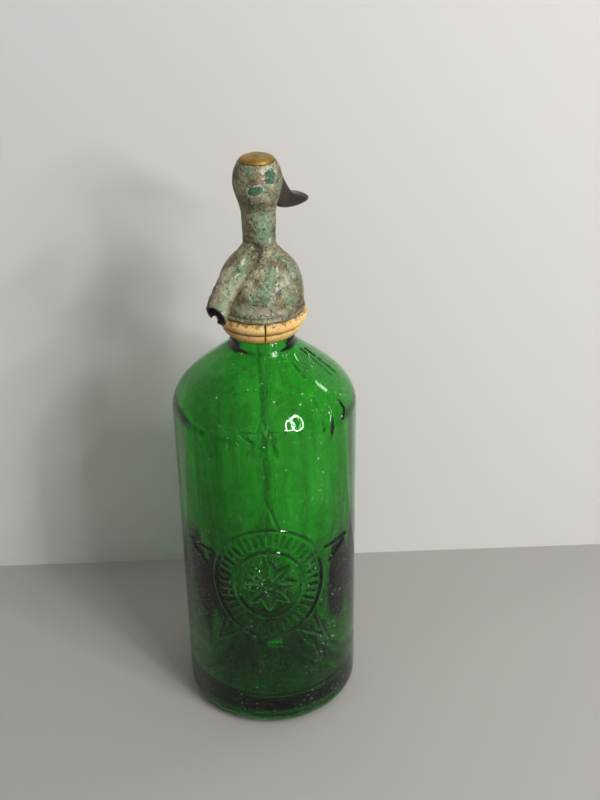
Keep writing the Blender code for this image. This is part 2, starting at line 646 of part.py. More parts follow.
def make_head(parts, cutters):
    """Pewter casting: bell, neck, bulb and hollow spout in one, with its bores and lever slot."""
    outline = bulb_outline(5)
    steps = 11
    outline += [
        (bell_radius(1 - step / steps), BELL_TOP - BELL_HEIGHT * step / steps)
        for step in range(steps + 1)
    ]
    outline += [
        (RIM_RADIUS, BELL_BOTTOM - RIM_LINE_DEPTH),
        (RIM_RADIUS, RIM_BOTTOM + RIM_LINE_DEPTH),
        (RIM_RADIUS - RIM_LINE_DEPTH, RIM_BOTTOM),
    ]
    outline = [(0, BULB_TOP)] + outline + [(0, RIM_BOTTOM)]
    head = turned("head_casting", outline, HEAD_SIDES, PEWTER, parts)
    body_path = spout_path(HEAD_NECK_RADIUS / 2, SPOUT_RADIUS)
    taper = SPOUT_TIP_RADIUS / SPOUT_RADIUS
    spout = tube("spout_body", body_path, SPOUT_RADIUS, SPOUT_SIDES, None, cutters, taper)
    hide_as_cutter(spout)
    combine(head, spout, "UNION")
    cut(head, turned("head_bores_cut", head_bores_outline(), HEAD_SIDES, None, cutters))
    bore_path = spout_path(STEM_RADIUS + SEAT_GAP, SPOUT_RADIUS + CUT_OVERRUN)
    cut(head, tube("spout_bore_cut", bore_path, SPOUT_BORE_RADIUS, SPOUT_SIDES, None, cutters))
    cut_spout_mouth(head, cutters)
    slot_bottom, slot_top = slot_heights()
    slot_width = 2 * (LEVER_ROOT_HALF_WIDTH + SEAT_GAP)
    slot_length = BULB_RADIUS + CUT_OVERRUN
    slot_centre = Vector((slot_length / 2, 0, (slot_bottom + slot_top) / 2))
    slot_size = (slot_length, slot_width, slot_top - slot_bottom)
    cut(head, box("lever_slot_cut", slot_size, slot_centre, Matrix.Identity(4), cutters))
    pin_centre = Vector((LEVER_ARM, 0, LEVER_PIN_HEIGHT))
    hole_reach = 2 * BULB_RADIUS
    cut(head, cross_cylinder("pin_hole_cut", LEVER_PIN_HOLE_RADIUS, hole_reach, pin_centre, None, cutters))
    shade_round(head)


def make_dip_tube(parts):
    """Open glass tube from just above the bottle's floor up into the grommet."""
    bottom = BOTTLE_FLOOR + TUBE_FOOT_CLEARANCE
    bore = TUBE_RADIUS - TUBE_WALL
    ring("dip_tube", bore, TUBE_RADIUS, bottom, TUBE_TOP, CLEAR_GLASS, parts, TUBE_SIDES)


def make_tube_fittings(parts):
    """Nut and grommet that hold the dip tube, and the valve seat above them."""
    tube_hole = TUBE_RADIUS + SEAT_GAP
    flange_top = HEAD_CEILING - SEAT_GAP
    nut = [
        (tube_hole, TUBE_NUT_TOP),
        (TUBE_NUT_SHANK_RADIUS, TUBE_NUT_TOP),
        (TUBE_NUT_SHANK_RADIUS, flange_top),
        (TUBE_NUT_FLANGE_RADIUS, flange_top),
        (TUBE_NUT_FLANGE_RADIUS, flange_top - TUBE_NUT_FLANGE_HEIGHT),
        (tube_hole, flange_top - TUBE_NUT_FLANGE_HEIGHT),
    ]
    turned("tube_nut", nut, FITTING_SIDES, BRASS, parts)
    ring("tube_grommet", tube_hole, TUBE_NUT_SHANK_RADIUS, GROMMET_BOTTOM, GROMMET_TOP, RUBBER, parts)
    nose_radius = SEAT_BORE_RADIUS + SEAT_NOSE_WALL
    nose_top = SEAT_TOP + SEAT_NOSE_HEIGHT
    seat = [
        (SEAT_BORE_RADIUS, nose_top),
        (SEAT_BORE_RADIUS + SEAT_NOSE_WALL / 2, nose_top),
        (nose_radius, SEAT_TOP),
        (TUBE_NUT_SHANK_RADIUS, SEAT_TOP),
        (TUBE_NUT_SHANK_RADIUS, SEAT_BOTTOM),
        (SEAT_BORE_RADIUS, SEAT_BOTTOM),
    ]
    turned("valve_seat", seat, FITTING_SIDES, BRASS, parts)


def make_stem(parts, cutters):
    """Valve stem with its foot, the lever's window, and a guide inside the spring."""
    screw_hole = WASHER_SCREW_RADIUS + SEAT_GAP
    foot_top = STEM_BOTTOM + STEM_FOOT_THICKNESS
    hole_top = STEM_BOTTOM + WASHER_SCREW_LENGTH
    guide_top = STEM_SHOULDER + STEM_GUIDE_LENGTH
    outline = [
        (0, guide_top),
        (STEM_GUIDE_RADIUS, guide_top),
        (STEM_GUIDE_RADIUS, STEM_SHOULDER),
        (STEM_RADIUS, STEM_SHOULDER),
        (STEM_RADIUS, foot_top),
        (STEM_FOOT_RADIUS, foot_top),
        (STEM_FOOT_RADIUS, STEM_BOTTOM),
        (screw_hole, STEM_BOTTOM),
        (screw_hole, hole_top),
        (0, hole_top),
    ]
    stem = turned("valve_stem", outline, FITTING_SIDES, BRASS, parts)
    window_size = (
        2 * (STEM_RADIUS + CUT_OVERRUN),
        2 * (TANG_HALF_WIDTH + SEAT_GAP),
        2 * (TANG_KNUCKLE_RADIUS + SEAT_GAP),
    )
    window_centre = Vector((0, 0, LEVER_PIN_HEIGHT))
    cut(stem, box("stem_window_cut", window_size, window_centre, Matrix.Identity(4), cutters))
    shade_round(stem)


def make_valve_washer(parts):
    """Rubber washer under the stem's foot, and the screw that holds it."""
    washer_top = VALVE_WASHER_BOTTOM + VALVE_WASHER_THICKNESS
    hole = WASHER_SCREW_RADIUS + SEAT_GAP
    ring("valve_washer", hole, VALVE_WASHER_RADIUS, VALVE_WASHER_BOTTOM, washer_top, RUBBER, parts)
    head_top = VALVE_WASHER_BOTTOM - SEAT_GAP
    screw_top = STEM_BOTTOM + WASHER_SCREW_LENGTH - SEAT_GAP
    outline = [
        (0, screw_top),
        (WASHER_SCREW_RADIUS, screw_top),
        (WASHER_SCREW_RADIUS, head_top),
        (WASHER_SCREW_HEAD_RADIUS, head_top),
        (WASHER_SCREW_HEAD_RADIUS, head_top - WASHER_SCREW_HEAD_HEIGHT),
        (0, head_top - WASHER_SCREW_HEAD_HEIGHT),
    ]
    turned("washer_screw", outline, FITTING_SIDES, BRASS, parts)


def make_packing(parts):
    """Rubber packing round the stem, and the gland nut that squeezes it."""
    inner = STEM_RADIUS + SEAT_GAP
    outer = CHAMBER_RADIUS - SEAT_GAP
    packing_top = PACKING_BOTTOM + PACKING_HEIGHT
    ring("stem_packing", inner, outer, PACKING_BOTTOM, packing_top, RUBBER, parts)
    nut_top = GLAND_NUT_BOTTOM + GLAND_NUT_HEIGHT
    ring("gland_nut", inner, outer, GLAND_NUT_BOTTOM, nut_top, BRASS, parts)


def make_spring(parts):
    """Closing spring, a true helix of one wire between the stem's collar and the cap."""
    collar_top = SPRING_COLLAR_BOTTOM + SPRING_COLLAR_THICKNESS
    hole = STEM_GUIDE_RADIUS + SEAT_GAP
    ring("spring_collar", hole, SPRING_COLLAR_RADIUS, SPRING_COLLAR_BOTTOM, collar_top, BRASS, parts)
    low = SPRING_BOTTOM + SPRING_WIRE_RADIUS
    high = SPRING_TOP - SPRING_WIRE_RADIUS
    count = round(SPRING_TURNS * SPRING_POINTS_PER_TURN)
    path = []
    for index in range(count + 1):
        turn = 2 * math.pi * SPRING_TURNS * index / count
        height = low + (high - low) * index / count
        path.append(Vector((SPRING_RADIUS * math.cos(turn), SPRING_RADIUS * math.sin(turn), height)))
    tube("closing_spring", path, SPRING_WIRE_RADIUS, WIRE_SIDES, STEEL, parts)
    least_gap = (high - low) / SPRING_TURNS - 2 * SPRING_WIRE_RADIUS
    print(f"closing_spring: least gap between turns {least_gap:.5f} m")


def make_cap(parts):
    """Domed brass cap that screws into the bulb, with a pocket for the spring, and its washer."""
    dome_bottom = CAP_FLANGE_BOTTOM + CAP_RIM_HEIGHT
    dome = [(0, dome_bottom + CAP_DOME_RISE)]
    steps = 5
    for step in range(1, steps + 1):
        angle = math.pi / 2 * (1 - step / steps)
        dome.append((CAP_RADIUS * math.cos(angle), dome_bottom + CAP_DOME_RISE * math.sin(angle)))
    outline = dome + [
        (CAP_RADIUS, CAP_FLANGE_BOTTOM),
        (CAP_BOSS_RADIUS, CAP_FLANGE_BOTTOM),
        (CAP_BOSS_RADIUS, CAP_BOSS_BOTTOM),
        (CAP_POCKET_RADIUS, CAP_BOSS_BOTTOM),
        (CAP_POCKET_RADIUS, CAP_POCKET_TOP),
        (0, CAP_POCKET_TOP),
    ]
    turned("brass_cap", outline, HEAD_SIDES, BRASS, parts)
    washer_bottom = CAP_SEAT + SEAT_GAP
    washer_top = washer_bottom + CAP_WASHER_THICKNESS
    inner = CAP_BOSS_RADIUS + SEAT_GAP
    ring("cap_washer", inner, CAP_RADIUS, washer_bottom, washer_top, RUBBER, parts, HEAD_SIDES)


def lever_section(width, top, bottom, power):
    """Returns one cross-section of the lever as (across, up) points: a rounded rectangle or oval."""
    middle = (top + bottom) / 2
    half_height = (top - bottom) / 2
    points = []
    for side in range(LEVER_SIDES):
        angle = 2 * math.pi * (side + 0.5) / LEVER_SIDES
        across = math.copysign(abs(math.cos(angle)) ** (2 / power), math.cos(angle))
        up = math.copysign(abs(math.sin(angle)) ** (2 / power), math.sin(angle))
        points.append((width * across, middle + half_height * up))
    return points


def lever_stations():
    """Returns (distance out, half width, top, underside, squareness) along the lever."""
    inner_half_height = TANG_EYE_RADIUS
    inner_drop = -LEVER_ROOT_DROP * LEVER_NECKING_SHARE
    root = (LEVER_ROOT_HALF_WIDTH, inner_half_height)
    stations = [
        (-LEVER_INNER_REACH, *root, -inner_half_height, LEVER_ROOT_SQUARENESS_SHARE),
        (-LEVER_INNER_REACH / 2, *root, inner_drop, LEVER_ROOT_SQUARENESS_SHARE),
    ]
    softening = LEVER_PAD_SQUARENESS_SHARE - LEVER_ROOT_SQUARENESS_SHARE
    for reach, rise, drop, widening in LEVER_STATION_SHARES:
        half_width = LEVER_ROOT_HALF_WIDTH + (LEVER_PAD_HALF_WIDTH - LEVER_ROOT_HALF_WIDTH) * widening
        squareness = LEVER_ROOT_SQUARENESS_SHARE + softening * widening
        stations.append(
            (LEVER_REACH * reach, half_width, LEVER_ROOT_RISE * rise, LEVER_ROOT_DROP * drop, squareness)
        )
    return stations


def make_lever(parts, cutters):
    """Moulded lever: a tall root plate in the slot that sweeps out into a flat thumb pad."""
    pivot = bpy.data.objects.new("lever_pivot", None)
    parts.objects.link(pivot)
    pivot.location = (LEVER_ARM, 0, LEVER_PIN_HEIGHT)
    bpy.context.view_layer.update()
    working = bmesh.new()
    loops = []
    for distance, half_width, top, bottom, squareness in lever_stations():
        section = lever_section(half_width, top, bottom, squareness)
        loops.append([working.verts.new((distance, across, up)) for across, up in section])
    for near, far in zip(loops, loops[1:]):
        for side in range(LEVER_SIDES):
            after = (side + 1) % LEVER_SIDES
            working.faces.new((near[side], near[after], far[after], far[side]))
    working.faces.new(reversed(loops[0]))
    working.faces.new(loops[-1])
    bmesh.ops.recalc_face_normals(working, faces=working.faces)
    mesh = bpy.data.meshes.new("lever")
    working.to_mesh(mesh)
    working.free()
    lever = new_object("lever", mesh, BLACK_PLASTIC, parts)
    lever.location = pivot.location
    pocket = tang_solid("tang_pocket_cut", SEAT_GAP, None, cutters)
    cut(lever, pocket)
    hole_centre = Vector(pivot.location)
    hole_reach = 2 * LEVER_ROOT_HALF_WIDTH
    hole = cross_cylinder("lever_hole_cut", LEVER_PIN_HOLE_RADIUS, hole_reach, hole_centre, None, cutters)
    cut(lever, hole)
    shade_round(lever)
    tang = tang_solid("lever_tang", 0, STEEL, parts)
    cut(tang, hole)
    shade_round(tang)
    for child in (lever, tang):
        child.parent = pivot
        child.location = (0, 0, 0)
    make_lever_pin(parts)


def tang_outline(margin):
    """Returns the steel tang's side outline about the pin, grown by the margin all round."""
    knuckle = TANG_KNUCKLE_RADIUS + margin
    shank = TANG_HALF_HEIGHT + margin
    eye = TANG_EYE_RADIUS + margin
    tail = TANG_TAIL_HALF_HEIGHT + margin
    knuckle_angle = math.asin(shank / knuckle)
    eye_angle = math.asin(shank / eye)
    tail_angle = math.asin(tail / eye)
    tail_end = TANG_TAIL_LENGTH + margin
    upper = arc((0, 0), eye, tail_angle, math.pi - eye_angle, 8)
    nose = arc((-LEVER_ARM, 0), knuckle, knuckle_angle, 2 * math.pi - knuckle_angle, 10)
    lower = arc((0, 0), eye, math.pi + eye_angle, 2 * math.pi - tail_angle, 8)
    return [(tail_end, tail)] + upper + nose + lower + [(tail_end, -tail)]


def tang_solid(name, margin, finish, collection):
    """Returns the tang as a plate of its outline, at the pin: the piece, or its pocket."""
    half_width = TANG_HALF_WIDTH + margin
    working = bmesh.new()
    outline = [working.verts.new((x, -half_width, z)) for x, z in tang_outline(margin)]
    face = working.faces.new(outline)
    grown = bmesh.ops.extrude_face_region(working, geom=[face])
    moved = [item for item in grown["geom"] if isinstance(item, bmesh.types.BMVert)]
    bmesh.ops.translate(working, verts=moved, vec=Vector((0, 2 * half_width, 0)))
    bmesh.ops.recalc_face_normals(working, faces=working.faces)
    mesh = bpy.data.meshes.new(name)
    working.to_mesh(mesh)
    working.free()
    obj = new_object(name, mesh, finish, collection)
    obj.location = (LEVER_ARM, 0, LEVER_PIN_HEIGHT)
    return obj


def make_lever_pin(parts):
    """Steel pin through the bulb's two cheeks, on which the lever turns. Its ends meet the surface."""
    centre = Vector((LEVER_ARM, 0, LEVER_PIN_HEIGHT))
    surface = bulb_radius(LEVER_PIN_HEIGHT)
    half_length = math.sqrt(surface**2 - (LEVER_ARM + LEVER_PIN_RADIUS) ** 2)
    cross_cylinder("lever_pin", LEVER_PIN_RADIUS, half_length, centre, STEEL, parts)


def main():
    """Builds the siphon from the bottle up."""
    clear_scene()
    parts = new_collection("soda_siphon")
    cutters = new_collection("cutters")
    make_bottle(parts)
    make_split_ring(parts, cutters)
    make_neck_gasket(parts)
    make_head(parts, cutters)
    make_dip_tube(parts)
    make_tube_fittings(parts)
    make_stem(parts, cutters)
    make_valve_washer(parts)
    make_packing(parts)
    make_spring(parts)
    make_cap(parts)
    make_lever(parts, cutters)


main()
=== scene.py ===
"""Looks of the soda siphon: moulded glass, cast pewter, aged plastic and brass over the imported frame.

Metres, +Z up. The origin is the middle of the base, the spout points along -X and the lever along +X.
The bottle, dip tube, collar halves, head, lever and cap are modelled again with their fine shape, in the
place of their plain solids. The fittings inside the head keep their solids and get their finishes here.
"""

import logging
import math
from collections.abc import Callable, Sequence
from dataclasses import dataclass
from enum import Enum

import bpy
import numpy as np
from mathutils import Matrix, Vector


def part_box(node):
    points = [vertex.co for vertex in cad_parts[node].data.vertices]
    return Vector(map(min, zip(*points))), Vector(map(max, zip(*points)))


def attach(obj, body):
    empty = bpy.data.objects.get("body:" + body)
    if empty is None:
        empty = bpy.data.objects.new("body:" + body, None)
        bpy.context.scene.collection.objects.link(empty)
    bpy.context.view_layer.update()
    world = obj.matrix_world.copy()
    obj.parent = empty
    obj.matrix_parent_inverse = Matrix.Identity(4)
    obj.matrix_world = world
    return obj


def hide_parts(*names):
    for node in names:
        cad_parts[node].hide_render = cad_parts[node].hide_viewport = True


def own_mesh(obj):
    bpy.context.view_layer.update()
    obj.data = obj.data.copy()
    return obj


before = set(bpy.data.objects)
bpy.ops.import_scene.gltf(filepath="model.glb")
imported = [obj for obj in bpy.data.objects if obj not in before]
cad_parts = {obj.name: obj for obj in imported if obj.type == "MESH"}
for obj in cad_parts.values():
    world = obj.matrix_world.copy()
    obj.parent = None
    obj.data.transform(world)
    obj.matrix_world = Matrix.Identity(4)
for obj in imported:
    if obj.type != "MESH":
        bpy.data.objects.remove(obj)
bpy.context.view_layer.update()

MM = 0.001
# Lengths, areas and shares under this count as nothing.
TINY = 1e-9
# Odd numbers that scramble a lattice corner's place and a seed into a value that looks random.
LATTICE_KEYS = (73856093, 19349663, 83492791)
SEED_KEY = 2654435761
SCRAMBLE_KEY = 1274126177
LOG = logging.getLogger("soda_siphon")
Pair = tuple[float, float]
Outline = list[Pair]
Place = tuple[float, float, float]
Piece = bpy.types.Object
Material = bpy.types.Material
Tree = bpy.types.NodeTree
Node = bpy.types.Node
Socket = bpy.types.NodeSocket
Inputs = dict[str, object] | Sequence[object]


def linear(hex_colour: str) -> tuple[float, float, float, float]:
    """Turns an sRGB hex colour into linear light.

    Args:
        hex_colour: The colour as six hex digits, such as "85876C".

    Returns:
        Linear red, green and blue, and an alpha of 1.
    """
    shares = [int(hex_colour[start:start + 2], 16) / 255 for start in (0, 2, 4)]
    curve = [share / 12.92 if share <= 0.04045 else ((share + 0.055) / 1.055) ** 2.4 for share in shares]
    return (curve[0], curve[1], curve[2], 1.0)


def scale_of(size_mm: float) -> float:
    """Returns a texture's scale, in features per metre, for features of a size in millimetres."""
    return 1.0 / (size_mm * MM)


def fill(node: Node, inputs: Inputs) -> None:
    """Gives a node's inputs their links or values.

    Args:
        node: The node.
        inputs: What the inputs get, by name or in their own order: a plain value, a hex colour, an output
            socket, or a node, which stands for its first output.
    """
    for key, value in inputs.items() if isinstance(inputs, dict) else enumerate(inputs):
        if isinstance(value, Node):
            value = value.outputs[0]
        if isinstance(value, Socket):
            node.id_data.links.new(value, node.inputs[key])
        else:
            node.inputs[key].default_value = linear(value) if isinstance(value, str) else value


def add_node(
    tree: Tree,
    kind: str,
    inputs: Inputs = (),
    stops: Sequence[tuple[float, str]] = (),
    **settings: object,
) -> Node:
    """Adds one shader node with its settings and links.

    Args:
        tree: The material's or world's node tree.
        kind: The node's type without its prefix, such as "TexNoise".
        inputs: What its inputs get, as for fill.
        stops: Places and hex colours, for a node that holds a colour ramp.
        **settings: The node's own properties.

    Returns:
        The new node.
    """
    node = tree.nodes.new("ShaderNode" + kind)
    for name, value in settings.items():
        setattr(node, name, value)
    fill(node, inputs)
    if stops:
        ramp = node.color_ramp
        while len(ramp.elements) < len(stops):
            ramp.elements.new(0.5)
        for element, (place, colour) in zip(ramp.elements, stops):
            element.position = place
            element.color = linear(colour)
    return node


def add_dots(tree: Tree, place: Socket, spacing_mm: float, size: float,
             share: float) -> Node:
    """Adds nodes for scattered round dots.

    Args:
        tree: The material's tree.
        place: The output that holds the place.
        spacing_mm: Distance between the cells in millimetres.
        size: The dots' radius as a share of that.
        share: Share of the cells that hold a dot.

    Returns:
        A node that gives 1 on the dots and 0 between them.
    """
    cells = add_node(tree, "TexVoronoi", {"Vector": place, "Scale": scale_of(spacing_mm)})
    dot = add_node(tree, "MapRange", (cells, 0.6 * size, size, 1.0, 0.0))
    lot = add_node(tree, "SeparateColor", (cells.outputs["Color"],))
    held = add_node(tree, "Math", (lot, share), operation="LESS_THAN")
    return add_node(tree, "Math", (dot, held), operation="MULTIPLY")


def lattice_noise(points: np.ndarray, size: float, seed: int) -> np.ndarray:
    """Makes smooth noise.

    Args:
        points: Places in metres, one per row.
        size: The size of the noise's lumps in metres.
        seed: Any whole number, which picks the pattern.

    Returns:
        A value between -1 and 1 for each point.
    """
    cells = points / size
    corner = np.floor(cells).astype(np.int64)
    share = smooth_step(cells - corner, 0, 1)
    total = np.zeros(len(points))
    for offset in np.ndindex(2, 2, 2):
        mixed = np.bitwise_xor.reduce((corner + offset) * LATTICE_KEYS, axis=1) ^ seed * SEED_KEY
        mixed = (mixed ^ (mixed >> 13)) * SCRAMBLE_KEY & 0x7FFFFFFF
        mixed = (mixed ^ (mixed >> 16)) & 0xFFFF
        weight = np.prod(np.where(np.array(offset) == 1, share, 1 - share), axis=1)
        total += weight * (mixed / 0x7FFF - 1)
    return total


def smooth_step(values: np.ndarray, low: float, high: float) -> np.ndarray:
    """Returns 0 where the values are under low, 1 over high, and a smooth rise between."""
    share = np.clip((values - low) / (high - low), 0, 1)
    return share * share * (3 - 2 * share)


def smooth_outline(points: Outline, spacing: float) -> Outline:
    """Draws a smooth curve through an outline's points.

    Args:
        points: Places that the curve passes through.
        spacing: The distance between the new points in metres.

    Returns:
        The curve's points, from the first place to the last.
    """
    padded = [points[0]] + list(points) + [points[-1]]
    result = [points[0]]
    for before, start, end, after in zip(padded, padded[1:], padded[2:], padded[3:]):
        steps = max(1, round(math.dist(start, end) / spacing))
        for step in range(1, steps + 1):
            share = step / steps
            weights = (
                -0.5 * share + share**2 - 0.5 * share**3,
                1 - 2.5 * share**2 + 1.5 * share**3,
                0.5 * share + 2 * share**2 - 1.5 * share**3,
                -0.5 * share**2 + 0.5 * share**3,
            )
            corners = (before, start, end, after)
            result.append(tuple(
                sum(weight * corner[axis] for weight, corner in zip(weights, corners)) for axis in (0, 1)
            ))
    return result


def arc(centre: Pair, radius: float, start: float, end: float, steps: int) -> Outline:
    """Returns points on an arc, from one angle in degrees to another."""
    angles = np.radians(np.linspace(start, end, steps + 1))
    return [(centre[0] + radius * math.cos(a), centre[1] + radius * math.sin(a)) for a in angles]


def bumps(places: np.ndarray, *rows: tuple[float, float, int]) -> np.ndarray:
    """Returns summed noise in metres, from rows of size and depth in millimetres and a seed."""
    return sum(lattice_noise(places, size * MM, seed) * depth * MM for size, depth, seed in rows)


def refined(outline: Outline, spacing: float) -> Outline:
    """Adds points along an outline's straight runs.

    Args:
        outline: The outline.
        spacing: How far apart its points may be.

    Returns:
        The finer outline.
    """
    result = [outline[0]]
    for start, end in zip(outline, outline[1:]):
        steps = max(1, math.ceil(math.dist(start, end) / spacing - TINY))
        for step in range(1, steps + 1):
            share = step / steps
            result.append(tuple(start[axis] + (end[axis] - start[axis]) * share for axis in (0, 1)))
    return result


def mesh_object(name: str, places: np.ndarray, faces: Sequence[Sequence[int]]) -> Piece:
    """Makes an object of a mesh whose places are in the frame's own coordinates.

    Args:
        name: The piece's name.
        places: Its points in metres, one per row.
        faces: The points of each face, anticlockwise from outside.

    Returns:
        The new object, shaded smooth and linked to the scene.
    """
    mesh = bpy.data.meshes.new(name)
    mesh.from_pydata([tuple(place) for place in places.tolist()], [], faces)
    mesh.update()
    mesh.shade_smooth()
    obj = bpy.data.objects.new(name, mesh)
    bpy.context.scene.collection.objects.link(obj)
    return obj


def run_on(outline: Outline, spacing: float, *places: Pair) -> None:
    """Carries an outline straight on through more places, with points no further apart than spacing."""
    outline.extend(refined([outline[-1], *places], spacing)[1:])


def stepped(*levels: Pair) -> Outline:
    """Draws a stepped section from the axis down.

    Args:
        *levels: Each step's radius and the height of its top.

    Returns:
        The section's points.
    """
    outline = [(0, levels[0][1])]
    for (radius, top), (_, bottom) in zip(levels, levels[1:]):
        outline += [(radius, top), (radius, bottom)]
    return outline + [levels[-1]]


def band_faces(rows: int, columns: int, wrapped: bool = False) -> list[tuple[int, ...]]:
    """Joins rows of points that each run round.

    Args:
        rows: How many rows there are.
        columns: How many points each has.
        wrapped: Whether the last row joins the first.

    Returns:
        The points of each face.
    """
    faces = []
    for row in range(rows if wrapped else rows - 1):
        here, there = row * columns, (row + 1) % rows * columns
        for column in range(columns):
            after = (column + 1) % columns
            faces.append((here + column, here + after, there + after, there + column))
    return faces


def turned(
    name: str,
    outline: Outline,
    angles: np.ndarray,
    offset: Callable[[np.ndarray, np.ndarray, np.ndarray], np.ndarray] | None = None,
) -> Piece:
    """Turns a closed outline about the Z axis, with a fine offset along its surface's normal.

    Args:
        name: The piece's name.
        outline: Radius and height of each point. It runs down the outer side. With both ends on the axis
            it is left open there, and otherwise its last point joins its first.
        angles: The angle of each column in radians, once round.
        offset: Gives metres of offset from grids of angle, radius and height.

    Returns:
        The new object, one closed body.
    """
    points = np.array(outline)
    on_axis = points[0, 0] < TINY and points[-1, 0] < TINY
    ring = points[1:-1] if on_axis else points
    before = points[:-2] if on_axis else np.roll(points, 1, axis=0)
    after = points[2:] if on_axis else np.roll(points, -1, axis=0)
    along = after - before
    along /= np.linalg.norm(along, axis=1, keepdims=True)
    angle, radius = np.meshgrid(angles, ring[:, 0])
    height = np.repeat(ring[:, 1:], len(angles), axis=1)
    shift = offset(angle, radius, height) if offset else np.zeros_like(angle)
    grid = wrapped_places(angle, radius - along[:, 1:] * shift, height + along[:, :1] * shift)
    rows, columns = angle.shape
    faces = [face[:1] + face[:0:-1] for face in band_faces(rows, columns, not on_axis)]
    if on_axis:
        grid = np.vstack([grid, [(0, 0, points[0, 1]), (0, 0, points[-1, 1])]])
        first, last = rows * columns, rows * columns + 1
        bottom = (rows - 1) * columns
        for column in range(columns):
            after_column = (column + 1) % columns
            faces.append((first, column, after_column))
            faces.append((last, bottom + after_column, bottom + column))
    return mesh_object(name, grid, faces)


def even_angles(count: int) -> np.ndarray:
    """Returns that many angles in radians, evenly round the circle."""
    return np.arange(count) * (2 * math.pi / count)


def wrapped_places(angle: np.ndarray, radius: np.ndarray, height: np.ndarray) -> np.ndarray:
    """Returns places, one per row, from grids of angle in radians, radius and height."""
    return np.stack([radius * np.cos(angle), radius * np.sin(angle), height], axis=-1).reshape(-1, 3)


def loft(name: str, loops: Sequence[np.ndarray]) -> Piece:
    """Joins loops of points into one closed body.

    Args:
        name: The piece's name.
        loops: Rings of points, each with as many as the first. The first and last get a cap.

    Returns:
        The new object, with its faces pointing out.
    """
    sides = len(loops[0])
    faces: list[Sequence[int]] = band_faces(len(loops), sides)
    faces.append(tuple(reversed(range(sides))))
    faces.append(tuple((len(loops) - 1) * sides + side for side in range(sides)))
    obj = mesh_object(name, np.vstack(loops), faces)
    obj.data.validate()
    turn_faces_out(obj)
    return obj


def turn_faces_out(obj: Piece) -> None:
    """Flips the mesh if its signed volume is negative.

    Args:
        obj: A closed body.
    """
    obj.data.calc_loop_triangles()
    places = mesh_places(obj)
    corners = np.array([triangle.vertices for triangle in obj.data.loop_triangles])
    first, second, third = (places[corners[:, corner]] for corner in range(3))
    if np.einsum("ij,ij->i", first, np.cross(second, third)).sum() < 0:
        obj.data.flip_normals()


def mesh_places(obj: Piece, kind: str = "co") -> np.ndarray:
    """Reads the mesh's points.

    Args:
        obj: The piece.
        kind: Or "normal", for their normals.

    Returns:
        One row for each point.
    """
    flat = np.empty(len(obj.data.vertices) * 3)
    obj.data.vertices.foreach_get(kind, flat)
    return flat.reshape(-1, 3)


def tube_along(name: str, path: Sequence[Vector], radii: Sequence[float], sides: int) -> Piece:
    """Makes a solid bar round a path, with one axis of its section along Y.

    Args:
        name: The piece's name.
        path: Points of the centre line.
        radii: The bar's radius at each point.
        sides: How many sides the bar has.

    Returns:
        The new object with flat ends.
    """
    loops = []
    across = Vector((0, 1, 0))
    for index, (point, radius) in enumerate(zip(path, radii)):
        ahead = path[min(index + 1, len(path) - 1)] - path[max(index - 1, 0)]
        up = ahead.normalized().cross(across)
        turns = even_angles(sides)
        ring = [point + (across * math.cos(turn) + up * math.sin(turn)) * radius for turn in turns]
        loops.append(np.array(ring))
    return loft(name, loops)


def box_body(name: str, size: Sequence[float], placement: Matrix) -> Piece:
    """Makes a box.

    Args:
        name: Its name.
        size: Its three sides.
        placement: Where its centre and axes go.

    Returns:
        The new object.
    """
    half = [side / 2 for side in size]
    loops = []
    for end in (-1, 1):
        corners = [
            (half[0] * x, half[1] * y, half[2] * end) for x, y in ((-1, -1), (1, -1), (1, 1), (-1, 1))]
        loops.append(np.array([placement @ Vector(corner) for corner in corners]))
    return loft(name, loops)


def combine(obj: Piece, other: Piece, operation: str) -> None:
    """Adds the other body to the object, or cuts it out, and removes the other.

    Args:
        obj: The body that is changed.
        other: The body that is added or cut out.
        operation: "UNION" or "DIFFERENCE".
    """
    boolean = obj.modifiers.new("combine", "BOOLEAN")
    boolean.operation = operation
    boolean.solver = "MANIFOLD"
    boolean.object = other
    bake_modifiers(obj)
    bpy.data.objects.remove(other, do_unlink=True)


def bake_modifiers(obj: Piece) -> None:
    """Replaces the object's mesh by its evaluated one and drops its modifiers.

    Args:
        obj: The piece.
    """
    bpy.context.view_layer.update()
    graph = bpy.context.evaluated_depsgraph_get()
    mesh = bpy.data.meshes.new_from_object(obj.evaluated_get(graph))
    mesh.name = obj.name
    obj.modifiers.clear()
    obj.data = mesh
    mesh.shade_smooth()


def move_along_normals(obj: Piece, shift: np.ndarray) -> None:
    """Moves each point of the mesh along its normal.

    Args:
        obj: The piece.
        shift: Metres for each point.
    """
    places = mesh_places(obj) + mesh_places(obj, "normal") * shift[:, None]
    obj.data.vertices.foreach_set("co", places.ravel())
    obj.data.update()


def paint(obj: Piece, layer: str, values: np.ndarray) -> None:
    """Stores one value per point of the mesh, which a material reads by the layer's name."""
    attribute = obj.data.attributes.new(layer, "FLOAT", "POINT")
    attribute.data.foreach_set("value", values.astype(np.float32))


